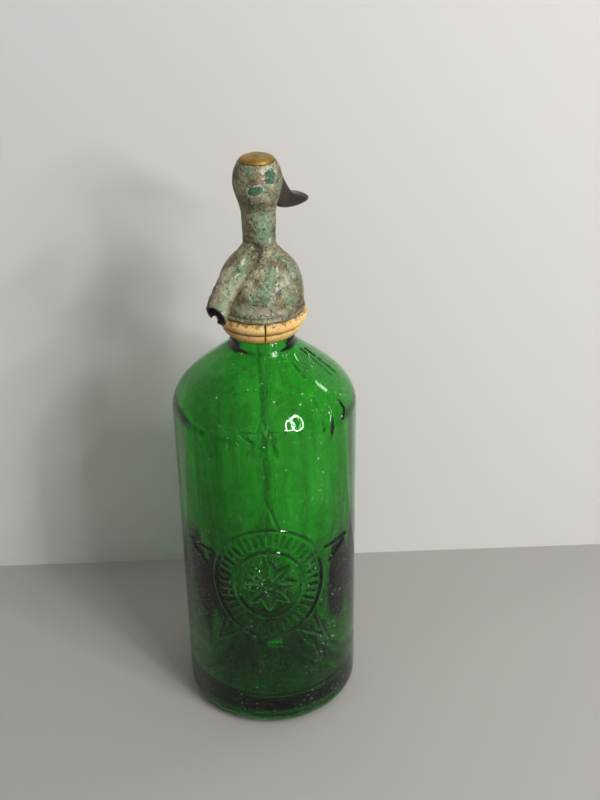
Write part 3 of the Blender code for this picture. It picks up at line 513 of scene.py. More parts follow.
def hollowness(obj: Piece, rounds: int) -> np.ndarray:
    """Returns how hollow the surface is round each point.

    Args:
        obj: The piece.
        rounds: How often the values are spread to their neighbours.

    Returns:
        Metres that each point lies under the mean of its neighbours, under zero on edges and crests.
    """
    pairs = np.empty(len(obj.data.edges) * 2, dtype=np.int64)
    obj.data.edges.foreach_get("vertices", pairs)
    near, far = pairs[0::2], pairs[1::2]
    places = mesh_places(obj)
    total = len(places)
    count = np.bincount(near, minlength=total) + np.bincount(far, minlength=total)

    def spread(values: np.ndarray) -> np.ndarray:
        """Returns the mean of each point's neighbours."""
        sums = np.bincount(near, values[far], total) + np.bincount(far, values[near], total)
        return sums / np.maximum(count, 1)

    means = np.stack([spread(places[:, axis]) for axis in range(3)], axis=-1)
    depth = np.einsum("ij,ij->i", means - places, mesh_places(obj, "normal"))
    for _ in range(rounds):
        depth = (depth + spread(depth)) / 2
    return depth


def on_surface(angle: float, radius: float, height: float) -> Place:
    """Returns the place at an angle in degrees round the axis, a radius and a height."""
    return (radius * math.cos(math.radians(angle)), radius * math.sin(math.radians(angle)), height)


class Relief:
    """Raised ornament drawn on a flat patch: across and up in metres, from the patch's middle."""

    def __init__(self, across: np.ndarray, up: np.ndarray, soft: float) -> None:
        """Starts an empty relief on grids of places.

        Args:
            across: Distance to the right of the middle, for each place.
            up: Distance above the middle, for each place.
            soft: Width of the slope at each edge.
        """
        self.across = across
        self.up = up
        self.soft = soft
        self.height = np.zeros_like(across)

    def _raise(self, inside: np.ndarray, height: float | np.ndarray) -> None:
        """Raises the places whose depth inside a shape is over zero, with a soft slope."""
        self.height = np.maximum(self.height, height * smooth_step(inside, -self.soft, self.soft))

    def line(self, points: Sequence[Pair], width: float, height: float) -> None:
        """Draws a round-topped line.

        Args:
            points: The places that it passes through.
            width: Its width.
            height: How far it stands up.
        """
        nearest = np.full_like(self.across, np.inf)
        for (x0, y0), (x1, y1) in zip(points, points[1:]):
            run = max((x1 - x0) ** 2 + (y1 - y0) ** 2, TINY)
            share = np.clip(((self.across - x0) * (x1 - x0) + (self.up - y0) * (y1 - y0)) / run, 0, 1)
            away = np.hypot(self.across - x0 - share * (x1 - x0), self.up - y0 - share * (y1 - y0))
            nearest = np.minimum(nearest, away)
        self._raise(width / 2 - nearest, height)

    def oval(self, half_axes: Pair, width: float, height: float) -> None:
        """Draws an oval line round the middle."""
        turns = even_angles(60).tolist() + [0.0]
        self.line([(half_axes[0] * math.sin(t), half_axes[1] * math.cos(t)) for t in turns], width, height)

    def bead(self, radius: float, height: float) -> None:
        """Raises one round bead in the middle."""
        self._raise(radius - np.hypot(self.across, self.up), height)

    def leaf(self, base: Pair, tip: Pair, half_width: float,
             height: float) -> None:
        """Raises a pointed leaf with a crown and a sunk midrib.

        Args:
            base: Where it starts.
            tip: Where it ends.
            half_width: Half its greatest width.
            height: How far it stands up.
        """
        length = math.dist(base, tip)
        ahead = ((tip[0] - base[0]) / length, (tip[1] - base[1]) / length)
        along = (self.across - base[0]) * ahead[0] + (self.up - base[1]) * ahead[1]
        side = np.abs(-(self.across - base[0]) * ahead[1] + (self.up - base[1]) * ahead[0])
        share = np.clip(along / length, 0, 1)
        edge = half_width * np.sin(math.pi * share**0.8)
        inside = np.where((along > 0) & (along < length), edge - side, -np.inf)
        rib = 1 - 0.45 * np.exp(-((side / (0.22 * half_width)) ** 2)) * (share > 0.08)
        self._raise(inside, height * rib)


@dataclass(frozen=True)
class Finish:
    """What every finish shares: a material of its own name, with a Principled shader.

    Attributes:
        name: The material's name.
    """

    name: str

    def material(self) -> Material:
        """Makes the material, with the finish's looks on its shader.

        Returns:
            The new material.
        """
        material = bpy.data.materials.new(self.name)
        material.use_nodes = True
        tree = material.node_tree
        place = add_node(tree, "TexCoord").outputs["Object"]
        fill(tree.nodes["Principled BSDF"], self.looks(tree, place))
        return material

    def looks(self, tree: Tree, place: Socket) -> dict[str, object]:
        """Adds the finish's nodes.

        Args:
            tree: The material's tree.
            place: The output with the place in the piece's own frame.

        Returns:
            What the shader's inputs get.
        """
        raise NotImplementedError


@dataclass(frozen=True)
class BottleGlass(Finish):
    """Soda-lime bottle glass, blown in an iron mould and fire-polished.

    The colour is in the body of the glass, so thick places go dark and thin ones bright. Old bottles carry
    faint limescale and dust, which breaks the shine in specks.

    Attributes:
        tint: Share of red, green and blue that the glass does not absorb.
        density: Absorption per metre.
        roughness: Roughness of the clean surface.
        ior: Index of refraction, a little under clean glass, as dust and limescale dull the shine.
        shine: Specular level, lowered for the same cause.
        speck_cover: Threshold of the speck mask; higher leaves fewer specks.
        speck_colour: The limescale's colour.
        streak_colour, grime_colour: What the streaks and the grime let through, of white light.
        dusty_from, dusty_run: Height from which dust lies on the glass, and over which it thickens.
    """

    tint: tuple[float, float, float] = (0.105, 0.868, 0.055)
    density: float = 400.0
    roughness: float = 0.02
    ior: float = 1.42
    shine: float = 0.16
    speck_cover: float = 0.675
    speck_colour: str = "A9B49E"
    streak_colour: str = "C9D3B6"
    grime_colour: str = "C6BE98"
    dusty_from: float = 130.0 * MM
    dusty_run: float = 70.0 * MM

    def looks(self, tree: Tree, place: Socket) -> dict[str, object]:
        """Adds the glass's specks, dust, cords and grime, and the colour in its body."""
        # Limescale spots are about 1 mm across, in drifts about 20 mm wide.
        specks = add_node(
            tree, "TexNoise", {"Vector": place, "Scale": scale_of(1.1), "Detail": 2.0, "Roughness": 0.6})
        drifts = add_node(tree, "TexNoise", {"Vector": place, "Scale": scale_of(22.0), "Detail": 2.0})
        cover = add_node(tree, "Math", (drifts, 0.22, self.speck_cover - 0.11), operation="MULTIPLY_ADD")
        above = add_node(tree, "Math", (specks, cover), operation="SUBTRACT")
        scale = add_node(tree, "MapRange", (above, 0.0, 0.05, 0.0, 0.55))
        # Grains of dust about 1 mm across lie 4.8 mm apart, most of them on the shoulder.
        height = add_node(tree, "SeparateXYZ", (place,)).outputs["Z"]
        dusty = add_node(
            tree, "MapRange", (height, self.dusty_from, self.dusty_from + self.dusty_run, 0.08, 0.85))
        dust = add_node(tree, "Math", (add_dots(tree, place, 4.8, 0.125, 0.5), dusty), operation="MULTIPLY")
        mask = add_node(tree, "Math", (scale, dust), operation="MAXIMUM")
        see_through = add_node(tree, "Math", (1.0, mask), operation="SUBTRACT")
        rough = add_node(tree, "Math", (mask, 0.5, self.roughness), operation="MULTIPLY_ADD")
        # Cords in the glass run down it in streaks about 8 mm wide and 80 mm long.
        stretched = add_node(
            tree, "Mapping", {"Vector": place, "Scale": (scale_of(8.0), scale_of(8.0), scale_of(80.0))})
        cords = add_node(
            tree, "TexNoise", {"Vector": stretched, "Scale": 1.0, "Detail": 4.0, "Roughness": 0.65})
        streaked = add_node(tree, "ValToRGB", (cords,), ((0.49, "FFFFFF"), (0.64, self.streak_colour)))
        # Grime of old water mottles it in patches of about 5 mm, in drifts.
        mottle = add_node(
            tree, "TexNoise", {"Vector": place, "Scale": scale_of(5.0), "Detail": 7.0, "Roughness": 0.72})
        mottled = add_node(tree, "MapRange", (mottle, 0.48, 0.66))
        drifted = add_node(tree, "MapRange", (drifts, 0.46, 0.62))
        grime = add_node(tree, "Math", (mottled, drifted), operation="MULTIPLY")
        grimy = add_node(tree, "MixRGB", (grime, streaked, self.grime_colour))
        colour = add_node(tree, "MixRGB", (mask, grimy, self.speck_colour))
        # Hair-fine mould marks and handling wear, about 3 mm apart, only just bend the reflections.
        ripple = add_node(tree, "TexNoise", {"Vector": place, "Scale": scale_of(3.0), "Detail": 1.0})
        bump = add_node(tree, "Bump", {"Height": ripple, "Strength": 0.04, "Distance": 0.2 * MM})
        absorb = add_node(tree, "VolumeAbsorption", {"Color": (*self.tint, 1.0), "Density": self.density})
        fill(tree.nodes["Material Output"], {"Volume": absorb})
        return {
            "Base Color": colour, "Transmission Weight": see_through, "Roughness": rough, "Normal": bump,
            "IOR": self.ior, "Specular IOR Level": self.shine,
        }


@dataclass(frozen=True)
class Patch:
    """One patch of corrosion along a line on the head.

    Attributes:
        start, end: The line's ends, in metres; the same place for a round patch.
        radius: How far the patch reaches from its line.
    """

    start: Place
    end: Place
    radius: float

    def depth(self, places: np.ndarray) -> np.ndarray:
        """Measures how deep in the patch each place is.

        Args:
            places: The places, one per row.

        Returns:
            1 on the patch's line, 0 at its edge, less outside.
        """
        start = np.array(self.start)
        line = np.array(self.end) - start
        along = np.clip((places - start) @ line / max(line @ line, TINY), 0, 1)
        away = np.linalg.norm(places - start - along[:, None] * line, axis=1)
        return np.maximum(1 - away / self.radius, -1)


@dataclass(frozen=True)
class Pewter(Finish):
    """Tin-lead pewter, gravity cast and left bare, dulled and pitted by a century of wet hands.

    The metal keeps only a low, broken shine. Copper salts from the brass fittings have crept over it as a
    thin green film, with thick crust in a few spots that have pale chalky rims. Dirt and painted shade
    darken every hollow, and the edges are worn pale with a painted highlight. Film, crust, chalk and
    hollows are painted on the mesh.

    Attributes:
        dark, middle, pale: The metal's oxide from the hollows to the rubbed places.
        earth: The brown of old wax and dirt that clouds the oxide.
        film, pale_film: The thin copper salts, in their two shades.
        crust, dark_crust: The thick ones.
        bloom: The pale, dry oxide low on the bell.
        chalk: The salts' pale rims and streaks, and the pale on worn edges, partly a painted highlight.
        dirt: The dirt in pits and cracks, and the dirt with painted shade in hollows and creases.
    """

    dark: str = "474330"
    middle: str = "827D62"
    pale: str = "B0AC8A"
    earth: str = "837252"
    film: str = "669271"
    pale_film: str = "93B191"
    crust: str = "457C5C"
    dark_crust: str = "31543F"
    bloom: str = "BCBAA1"
    chalk: str = "CFD0BC"
    dirt: str = "1F1C14"

    def looks(self, tree: Tree, place: Socket) -> dict[str, object]:
        """Adds the metal's oxide, film, crust, chalk and dirt, with painted shade in creases and a painted
        highlight on worn edges.
        """
        # Oxide lies in clouds of 9 mm, broken up by the casting's grain of 1.4 mm. Every layer's edge is
        # ragged at 2.6 mm. Brown clouds are 6 mm wide, islands of film 7 mm, and cracks open over 5 mm.
        clouds, grain, edge, brown, islands, opening = (
            add_node(tree, "TexNoise", {
                "Vector": place, "Scale": scale_of(size_mm), "Detail": detail, "Roughness": roughness})
            for size_mm, detail, roughness in (
                (9.0, 6.0, 0.66), (1.4, 4.0, 0.7), (2.6, 5.0, 0.7), (6.0, 5.0, 0.7), (7.0, 6.0, 0.72),
                (5.0, 3.0, 0.6))
        )
        oxide = add_node(tree, "Math", (grain, 0.55, clouds), operation="MULTIPLY_ADD")
        colour = add_node(
            tree, "ValToRGB", (oxide,), ((0.60, self.dark), (0.75, self.middle), (0.92, self.pale)))
        # A painted layer starts where its value passes zero. Noise moves that edge by so many patch radii,
        # and it is so many radii soft.
        painted = {}
        for layer, breaking, raggedness, softness in (
            ("bloom", edge, 1.2, 1.0), ("film", edge, 1.3, 0.9), ("crust", edge, 1.0, 0.16),
            ("crust_rim", edge, 1.1, 0.3), ("chalk", grain, 2.6, 0.8), ("crease_dirt_and_shade", edge, 0.15, 0.8),
            ("rubbed_wear_and_highlight", edge, 0.4, 0.9),
        ):
            value = add_node(tree, "Attribute", attribute_name=layer).outputs["Fac"]
            moved = add_node(
                tree, "Math", (breaking, 2 * raggedness, -raggedness), operation="MULTIPLY_ADD")
            depth = add_node(tree, "Math", (value, moved), operation="ADD")
            painted[layer] = add_node(tree, "MapRange", (depth, 0.0, softness))
        earthy = add_node(tree, "MapRange", (brown, 0.46, 0.62))
        # The film creeps past its painted places, and the crust's chalky rim is broken by the grain.
        creeping = add_node(tree, "MapRange", (islands, 0.55, 0.66))
        film = add_node(tree, "Math", (painted["film"], creeping), operation="MAXIMUM")
        film_colour = add_node(tree, "ValToRGB", (grain,), ((0.40, self.film), (0.66, self.pale_film)))
        broken = add_node(tree, "MapRange", (grain, 0.40, 0.50))
        chalk_rim = add_node(tree, "Math", (painted["crust_rim"], broken), operation="MULTIPLY")
        crust_colour = add_node(tree, "ValToRGB", (grain,), ((0.38, self.dark_crust), (0.60, self.crust)))
        # White specks of about 0.5 mm and black pits of about 0.6 mm are strewn over all of it.
        specks = add_dots(tree, place, 2.3, 0.24, 0.22)
        pits = add_dots(tree, place, 2.0, 0.26, 0.20)
        # Cracks wander through the crust, about 2.8 mm apart and open only here and there.
        bend = add_node(tree, "TexNoise", {"Vector": place, "Scale": scale_of(1.8), "Detail": 3.0})
        bent = add_node(
            tree, "VectorMath", (bend.outputs["Color"], (3.0 * MM,) * 3, place), operation="MULTIPLY_ADD")
        plates = add_node(
            tree, "TexVoronoi", {"Vector": bent, "Scale": scale_of(2.8)}, feature="DISTANCE_TO_EDGE")
        gap = add_node(tree, "MapRange", (plates, 0.03, 0.13, 1.0, 0.0))
        opened = add_node(tree, "MapRange", (opening, 0.46, 0.56))
        crack = add_node(tree, "Math", (gap, opened), operation="MULTIPLY")
        # The layers lie over each other in this order, each with its own opacity. The crease layer is dirt
        # with painted shade in hollows and corners, and the pale on worn edges is partly a painted
        # highlight.
        for mask, opacity, top in (
            (earthy, 0.7, self.earth), (painted["bloom"], 0.82, self.bloom), (film, 0.72, film_colour),
            (chalk_rim, 0.8, self.chalk), (painted["crust"], 0.95, crust_colour),
            (painted["chalk"], 0.75, self.chalk), (specks, 0.75, self.chalk), (pits, 0.8, self.dirt),
            (crack, 0.37, self.dirt), (painted["crease_dirt_and_shade"], 0.68, self.dirt),
            (painted["rubbed_wear_and_highlight"], 0.55, self.chalk),
        ):
            share = add_node(tree, "Math", (mask, opacity), operation="MULTIPLY")
            colour = add_node(tree, "MixRGB", (share, colour, top))
        # Salts and crust are duller than the metal. They stand up from it, and cracks and pits are sunk.
        covered = add_node(tree, "Math", (film, painted["chalk"]), operation="MAXIMUM")
        covered = add_node(tree, "Math", (covered, painted["crust"]), operation="MAXIMUM")
        height = grain
        for layer, rise in ((edge, 1.2), (covered, 0.6), (crack, -0.8), (pits, -1.2)):
            height = add_node(tree, "Math", (layer, rise, height), operation="MULTIPLY_ADD")
        return {
            "Base Color": colour,
            "Metallic": add_node(tree, "MapRange", (covered, 0.0, 1.0, 0.35, 0.05)),
            "Roughness": add_node(tree, "MapRange", (covered, 0.0, 1.0, 0.50, 0.80)),
            "Normal": add_node(tree, "Bump", {"Height": height, "Strength": 1.0, "Distance": 0.32 * MM}),
        }


@dataclass(frozen=True)
class AgedPlastic(Finish):
    """Cast cream plastic, turned and polished, since yellowed by light and worn by wrenches.

    It glows a little under its skin. Brown dirt lies in the groove between the two bands.

    Attributes:
        cream, amber, dirt: The worn high places, the yellowed body and what lies in the hollows.
        groove_height: Height of the line between the bands.
        edge_height: Height of the edge under the head, where dirt gathers too.
    """

    cream: str = "F0CB84"
    amber: str = "E4A955"
    dirt: str = "43270F"
    groove_height: float = 0.2282
    edge_height: float = 0.2343

    def looks(self, tree: Tree, place: Socket) -> dict[str, object]:
        """Adds the plastic's stains, scratches and dirt."""
        # Yellowing drifts over about 12 mm, specks of dirt of about 0.9 mm sit in the skin, and stains are
        # about 3 mm wide.
        drift, specks, stains = (
            add_node(tree, "TexNoise", {
                "Vector": place, "Scale": scale_of(size_mm), "Detail": detail, "Roughness": roughness})
            for size_mm, detail, roughness in ((12.0, 4.0, 0.6), (0.9, 3.0, 0.7), (3.0, 6.0, 0.75))
        )
        body = add_node(tree, "ValToRGB", (drift,), ((0.38, self.amber), (0.62, self.cream)))
        specked = add_node(tree, "MapRange", (specks, 0.59, 0.66, 0.0, 0.85))
        height = add_node(tree, "SeparateXYZ", (place,)).outputs["Z"]
        away = add_node(tree, "Math", (height, self.groove_height), operation="SUBTRACT")
        near = add_node(tree, "Math", (away,), operation="ABSOLUTE")
        wavering = add_node(tree, "Math", (drift, 0.9 * MM, near), operation="MULTIPLY_ADD")
        groove = add_node(tree, "MapRange", (wavering, 0.7 * MM, 1.3 * MM, 0.85, 0.0))
        # The stains gather towards the upper edge.
        rise = add_node(
            tree, "MapRange", (height, self.edge_height - 3.0 * MM, self.edge_height, -0.62, -0.44))
        stained = add_node(tree, "Math", (stains, rise), operation="ADD")
        stain = add_node(tree, "MapRange", (stained, 0.0, 0.05, 0.0, 0.7))
        lined = add_node(tree, "Math", (groove, stain), operation="MAXIMUM")
        soiled = add_node(tree, "Math", (lined, specked), operation="MAXIMUM")
        # Scratches run round the ring, about 0.4 mm apart and 6 mm long.
        stretched = add_node(
            tree, "Mapping", {"Vector": place, "Scale": (scale_of(6.0), scale_of(6.0), scale_of(0.4))})
        scratches = add_node(tree, "TexNoise", {"Vector": stretched, "Scale": 1.0, "Detail": 2.0})
        uneven = add_node(tree, "Math", (specks, 1.0, scratches), operation="MULTIPLY_ADD")
        return {
            "Base Color": add_node(tree, "MixRGB", (soiled, body, self.dirt)),
            "Roughness": add_node(tree, "Math", (soiled, 0.3, 0.38), operation="MULTIPLY_ADD"),
            "Normal": add_node(tree, "Bump", {"Height": uneven, "Strength": 0.35, "Distance": 0.1 * MM}),
            "IOR": 1.54, "Subsurface Weight": 0.12, "Subsurface Radius": (1.0, 0.6, 0.3),
            "Subsurface Scale": 0.8 * MM,
        }


@dataclass(frozen=True)
class BareMetal(Finish):
    """Turned brass or drawn steel, dulled by age.

    Clouds of tarnish a few millimetres wide take the shine off in places, and fine turning marks spread
    the highlights round the axis.

    Attributes:
        bright, tarnish: The metal where it is rubbed and where it is not.
        smooth, dull: Roughness of the same two.
        cloud_mm: Size of the clouds in millimetres.
        mark_mm: Distance between turning marks in millimetres.
    """

    bright: str = "B8965A"
    tarnish: str = "7A6236"
    smooth: float = 0.30
    dull: float = 0.55
    cloud_mm: float = 3.5
    mark_mm: float = 0.25

    def looks(self, tree: Tree, place: Socket) -> dict[str, object]:
        """Adds the metal's tarnish and turning marks."""
        clouds = add_node(tree, "TexNoise", {
            "Vector": place, "Scale": scale_of(self.cloud_mm), "Detail": 5.0, "Roughness": 0.62})
        marks = add_node(
            tree, "TexWave",
            {"Vector": place, "Scale": scale_of(self.mark_mm) / 20, "Distortion": 1.5, "Detail": 2.0},
            wave_type="RINGS", rings_direction="Z").outputs["Fac"]
        return {
            "Base Color": add_node(
                tree, "ValToRGB", (clouds,), ((0.40, self.tarnish), (0.60, self.bright))),
            "Roughness": add_node(tree, "MapRange", (clouds, 0.40, 0.62, self.dull, self.smooth)),
            "Metallic": 0.9,
            "Normal": add_node(tree, "Bump", {"Height": marks, "Strength": 0.15, "Distance": 0.05 * MM}),
        }


@dataclass(frozen=True)
class Moulding(Finish):
    """Black phenolic moulding or vulcanised rubber, pressed in a hot mould.

    Phenolic comes out glossy and wears to a brown satin where thumbs rub it; rubber is matt from the start.

    Attributes:
        body, worn: The moulding's colour, fresh and rubbed.
        smooth, dull: Roughness of the same two.
        bump_depth: Depth of the skin's unevenness in metres.
    """

    body: str = "241C17"
    worn: str = "3C2F26"
    smooth: float = 0.30
    dull: float = 0.48
    bump_depth: float = 0.05 * MM

    def looks(self, tree: Tree, place: Socket) -> dict[str, object]:
        """Adds the moulding's worn places and fine scratches."""
        # Wear comes in patches of about 7 mm with a mottle of about 0.7 mm of filler in it.
        patches, mottle = (
            add_node(tree, "TexNoise", {
                "Vector": place, "Scale": scale_of(size_mm), "Detail": detail, "Roughness": roughness})
            for size_mm, detail, roughness in ((7.0, 6.0, 0.68), (0.7, 3.0, 0.6))
        )
        return {
            "Base Color": add_node(tree, "ValToRGB", (patches,), ((0.42, self.body), (0.66, self.worn))),
            "Roughness": add_node(tree, "MapRange", (patches, 0.40, 0.65, self.smooth, self.dull)),
            "IOR": 1.55,
            "Normal": add_node(
                tree, "Bump", {"Height": mottle, "Strength": 0.3, "Distance": self.bump_depth}),
        }


@dataclass(frozen=True)
class PaintedBoard(Finish):
    """Matt painted board for the floor and the backdrop: it takes a soft shadow and has no shine.

    Attributes:
        colour: The paint.
    """

    colour: str = "CECAC7"

    def looks(self, tree: Tree, place: Socket) -> dict[str, object]:
        """Adds the flat paint with a faint roller texture about 2 mm apart."""
        roller = add_node(tree, "TexNoise", {"Vector": place, "Scale": scale_of(2.0), "Detail": 2.0})
        bump = add_node(tree, "Bump", {"Height": roller, "Strength": 0.05, "Distance": 0.1 * MM})
        return {"Base Color": self.colour, "Roughness": 0.8, "Specular IOR Level": 0.2, "Normal": bump}


def dress(obj: Piece, finish: Finish) -> None:
    """Gives the object one finish in all its material slots."""
    obj.data.materials.clear()
    obj.data.materials.append(finish.material())


def place_piece(obj: Piece, body: str, *nodes: str) -> None:
    """Lets a piece ride on a body in the place of its nodes, which it hides.

    Args:
        obj: The piece.
        body: The body that it moves with.
        *nodes: The frame's nodes that it stands for.
    """
    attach(obj, body)
    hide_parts(*nodes)
    LOG.info("%s: %d faces, on %s, for %s", obj.name, len(obj.data.polygons), body, ", ".join(nodes))


@dataclass
class GlassBottle:
    """Thick moulded bottle with a dip tube on its axis."""

    radius: float = 47.0 * MM
    body_height: float = 181.2 * MM
    wall: float = 4.6 * MM
    heel_radius: float = 9.5 * MM
    foot_width: float = 3.0 * MM
    push_up: float = 4.0 * MM
    floor: float = 12.5 * MM
    inner_heel_radius: float = 12.0 * MM
    shoulder_rise: float = 36.8 * MM
    shoulder_power: float = 3.2
    neck_radius: float = 16.2 * MM
    bore_radius: float = 9.5 * MM
    throat_flare: float = 3.0 * MM
    ledge_height: float = 222.4 * MM
    groove_radius: float = 14.4 * MM
    lip_radius: float = 16.0 * MM
    lip_underside: float = 230.0 * MM
    lip_top: float = 237.8 * MM
    lip_round: float = 1.2 * MM
    tube_wall: float = 1.2 * MM
    tube_round: float = 0.35 * MM
    fine: float = 0.56 * MM
    coarse: float = 3.0 * MM
    relief_low: float = 50.0 * MM
    relief_high: float = 158.0 * MM
    marks_top: float = 216.0 * MM
    marks_radius: float = 18.0 * MM
    emblem_angle: float = -139.0
    emblem_height: float = 98.8 * MM
    emblem_rise: float = 1.0 * MM
    line_width: float = 1.5 * MM
    inner_oval: Pair = (17.5 * MM, 20.5 * MM)
    outer_oval: Pair = (29.5 * MM, 34.0 * MM)
    reeds: int = 40
    reed_reach: Pair = (21.2 * MM, 26.2 * MM)
    reed_stretch: float = 1.17
    star_reach: float = 51.0 * MM
    star_arm: float = 17.0 * MM
    waves_top: float = 188.0 * MM
    seam_height: float = 32.0 * MM
    seam_rise: float = 0.22 * MM
    fine_from: float = -202.0
    fine_to: float = -50.0
    # Heavy sides, where the gather of glass was blown out least: angle, spread in degrees, millimetres.
    heavy_sides: tuple[tuple[float, float, float], ...] = ((-208.0, 44.0, 3.0), (-66.0, 26.0, 1.5))
    # Ripples of the inner wall: how many go round, millimetres, phase in radians.
    ripples: tuple[tuple[int, float, float], ...] = (
        (7, 0.18, 0.4), (11, 0.10, 1.9), (17, 0.05, 3.1), (29, 0.026, 5.2))
    base_thickening: float = 5.0 * MM
    thick_below: float = 122.0 * MM
    thick_run: float = 72.0 * MM

    def dome_radius(self, height: np.ndarray) -> np.ndarray:
        """Measures the outer skin from the straight wall up to the neck.

        Args:
            height: Metres over the base.

        Returns:
            Its radius at each height.
        """
        rise = np.clip((height - self.body_height) / self.shoulder_rise, 0, 1)
        share = np.sqrt(1 - rise**2) ** self.shoulder_power
        return self.neck_radius + (self.radius - self.neck_radius) * share

    def shoulder(self, neck: float, body: float, rise: float, steps: int) -> Outline:
        """Draws the shoulder's dome from the neck down to the straight wall.

        Args:
            neck: Its radius at the neck.
            body: Its radius at the wall.
            rise: Its height.
            steps: How many parts it has.

        Returns:
            The dome's points.
        """
        turns = np.linspace(math.pi / 2, 0, steps + 1)
        return [
            (neck + (body - neck) * math.cos(turn) ** self.shoulder_power,
             self.body_height + rise * math.sin(turn))
            for turn in turns
        ]

    def outline(self) -> Outline:
        """Draws the section: up the inside from the floor, over the lip and down outside.

        Returns:
            The section's points.
        """
        inner_radius = self.radius - self.wall
        heel = (inner_radius - self.inner_heel_radius, self.floor + self.inner_heel_radius)
        line = refined([(0, self.floor), (heel[0], self.floor)], self.coarse)
        line += arc(heel, self.inner_heel_radius, -90, 0, 12)[1:]
        run_on(line, self.coarse, (inner_radius, self.body_height))
        throat = self.bore_radius + self.throat_flare
        line += self.shoulder(throat, inner_radius, self.shoulder_rise - self.wall, 40)[::-1][1:]
        line += smooth_outline([
            line[-1], (throat, self.ledge_height - 3.5 * MM),
            (self.bore_radius, self.ledge_height + 2.0 * MM),
            (self.bore_radius, self.ledge_height + 5.0 * MM),
        ], 0.8 * MM)[1:]
        round_height = self.lip_top - self.lip_round
        run_on(line, self.coarse, (self.bore_radius, round_height))
        line += arc((self.bore_radius + self.lip_round, round_height), self.lip_round, 180, 90, 4)[1:]
        line += arc((self.lip_radius - self.lip_round, round_height), self.lip_round, 90, 0, 4)
        run_on(
            line, self.coarse,
            (self.lip_radius, self.lip_underside), (self.groove_radius, self.lip_underside),
            (self.groove_radius, self.ledge_height), (self.neck_radius, self.ledge_height))
        line += self.shoulder(self.neck_radius, self.radius, self.shoulder_rise, 120)
        run_on(line, self.coarse, (self.radius, self.relief_high))
        run_on(line, self.fine, (self.radius, self.relief_low))
        run_on(line, self.coarse, (self.radius, self.heel_radius))
        centre = (self.radius - self.heel_radius, self.heel_radius)
        line += arc(centre, self.heel_radius, 0, -90, 14)[1:]
        foot = centre[0] - self.foot_width
        run_on(line, self.coarse, (foot, 0), (foot - self.push_up, self.push_up / 2), (0, self.push_up))
        return line

    def angles(self) -> np.ndarray:
        """Spaces the columns: close together where the relief is, wider elsewhere.

        Returns:
            Their angles in radians.
        """
        fine_step = math.degrees(self.fine / self.radius)
        fine_count = round((self.fine_to - self.fine_from) / fine_step)
        near = np.linspace(self.fine_from, self.fine_to, fine_count, endpoint=False)
        rest_count = round((360 - self.fine_to + self.fine_from) / 2.5)
        rest = np.linspace(self.fine_to, self.fine_from + 360, rest_count, endpoint=False)
        return np.radians(np.concatenate([near, rest]))

    def emblem(self, across: np.ndarray, up: np.ndarray) -> np.ndarray:
        """Shapes the body's ornament: a rosette in a reeded oval, before a plain star.

        Args:
            across: Distance to the right of its middle.
            up: Distance above its middle.

        Returns:
            Its height at each place.
        """
        art = Relief(across, up, 0.22 * MM)
        low, high = self.emblem_rise, 1.35 * self.emblem_rise
        for half_axes in (self.inner_oval, self.outer_oval):
            art.oval(half_axes, self.line_width, low)
        for index, turn in enumerate(even_angles(self.reeds)):
            # Reeds fill the band between the ovals. Every fourth is lower.
            ahead = (math.sin(turn), self.reed_stretch * math.cos(turn))
            reed = [(reach * ahead[0], reach * ahead[1]) for reach in self.reed_reach]
            art.line(reed, self.line_width, low if index % 4 else 0.6 * low)
        for turn in even_angles(8):
            ahead = (MM * math.sin(turn), MM * math.cos(turn))
            art.leaf((3.2 * ahead[0], 3.2 * ahead[1]), (15.0 * ahead[0], 16.5 * ahead[1]), 3.5 * MM, high)
        art.bead(2.6 * MM, high)
        for turn in even_angles(5):
            tip = (self.star_reach * math.sin(turn), self.star_reach * math.cos(turn))
            for lean in (-18, 18):
                inward = turn + math.pi + math.radians(lean)
                end = (tip[0] + self.star_arm * math.sin(inward), tip[1] + self.star_arm * math.cos(inward))
                art.line([tip, end], 1.3 * MM, low)
        return art.height

    def shoulder_marks(self, places: np.ndarray) -> np.ndarray:
        """Shapes the small star and the plain ribs on the shoulder.

        Args:
            places: The places, one per row.

        Returns:
            Their height at each place.
        """
        star = []
        for corner in range(11):
            reach = 12.0 if corner % 2 == 0 else 4.8
            turn = math.pi * corner / 5
            star.append((
                self.emblem_angle - 1.5 + math.degrees(reach * MM * math.sin(turn) / self.radius),
                185.0 + 0.8 * reach * math.cos(turn)))
        # Half width in millimetres, and corners as angle and height in millimetres.
        ribs = (
            (1.05, star),
            (1.0, ((-98.4, 197.9), (-100.0, 184.2))),
            (1.0, ((-90.4, 191.9), (-93.6, 181.5))),
            (0.9, ((-78.9, 192.3), (-77.5, 188.0), (-82.3, 184.5))),
            (1.0, ((-95.5, 210.8), (-93.4, 205.0))),
            (0.6, ((-62.0, 213.0), (-64.0, 200.0))),
            (0.6, ((-52.0, 211.5), (-55.0, 199.0))),
        )
        raised = np.zeros(len(places))
        for half_width, corners in ribs:
            for (angle, height), (to_angle, to_height) in zip(corners, corners[1:]):
                stops = []
                for share in np.linspace(0, 1, 4):
                    level = (height + (to_height - height) * share) * MM
                    radius = float(self.dome_radius(np.array(level)))
                    stops.append(on_surface(angle + (to_angle - angle) * share, radius, level))
                for start, end in zip(stops, stops[1:]):
                    depth = Patch(start, end, half_width * MM).depth(places)
                    raised = np.maximum(raised, 0.95 * half_width * MM * smooth_step(depth, 0, 0.6))
        return raised

    def thickening(self, angle: np.ndarray, height: np.ndarray) -> np.ndarray:
        """Gives the hand-blown wall its uneven inner side.

        Args:
            angle: Radians round the axis.
            height: Metres over the base.

        Returns:
            How much thicker than its least the wall is.
        """
        heavy = np.zeros_like(angle)
        for middle, width, depth in self.heavy_sides:
            away = (np.degrees(angle) - middle + 180) % 360 - 180
            heavy += depth * MM * np.exp(-((away / width) ** 2))
        ripples = np.zeros_like(angle)
        for count, depth, phase in self.ripples:
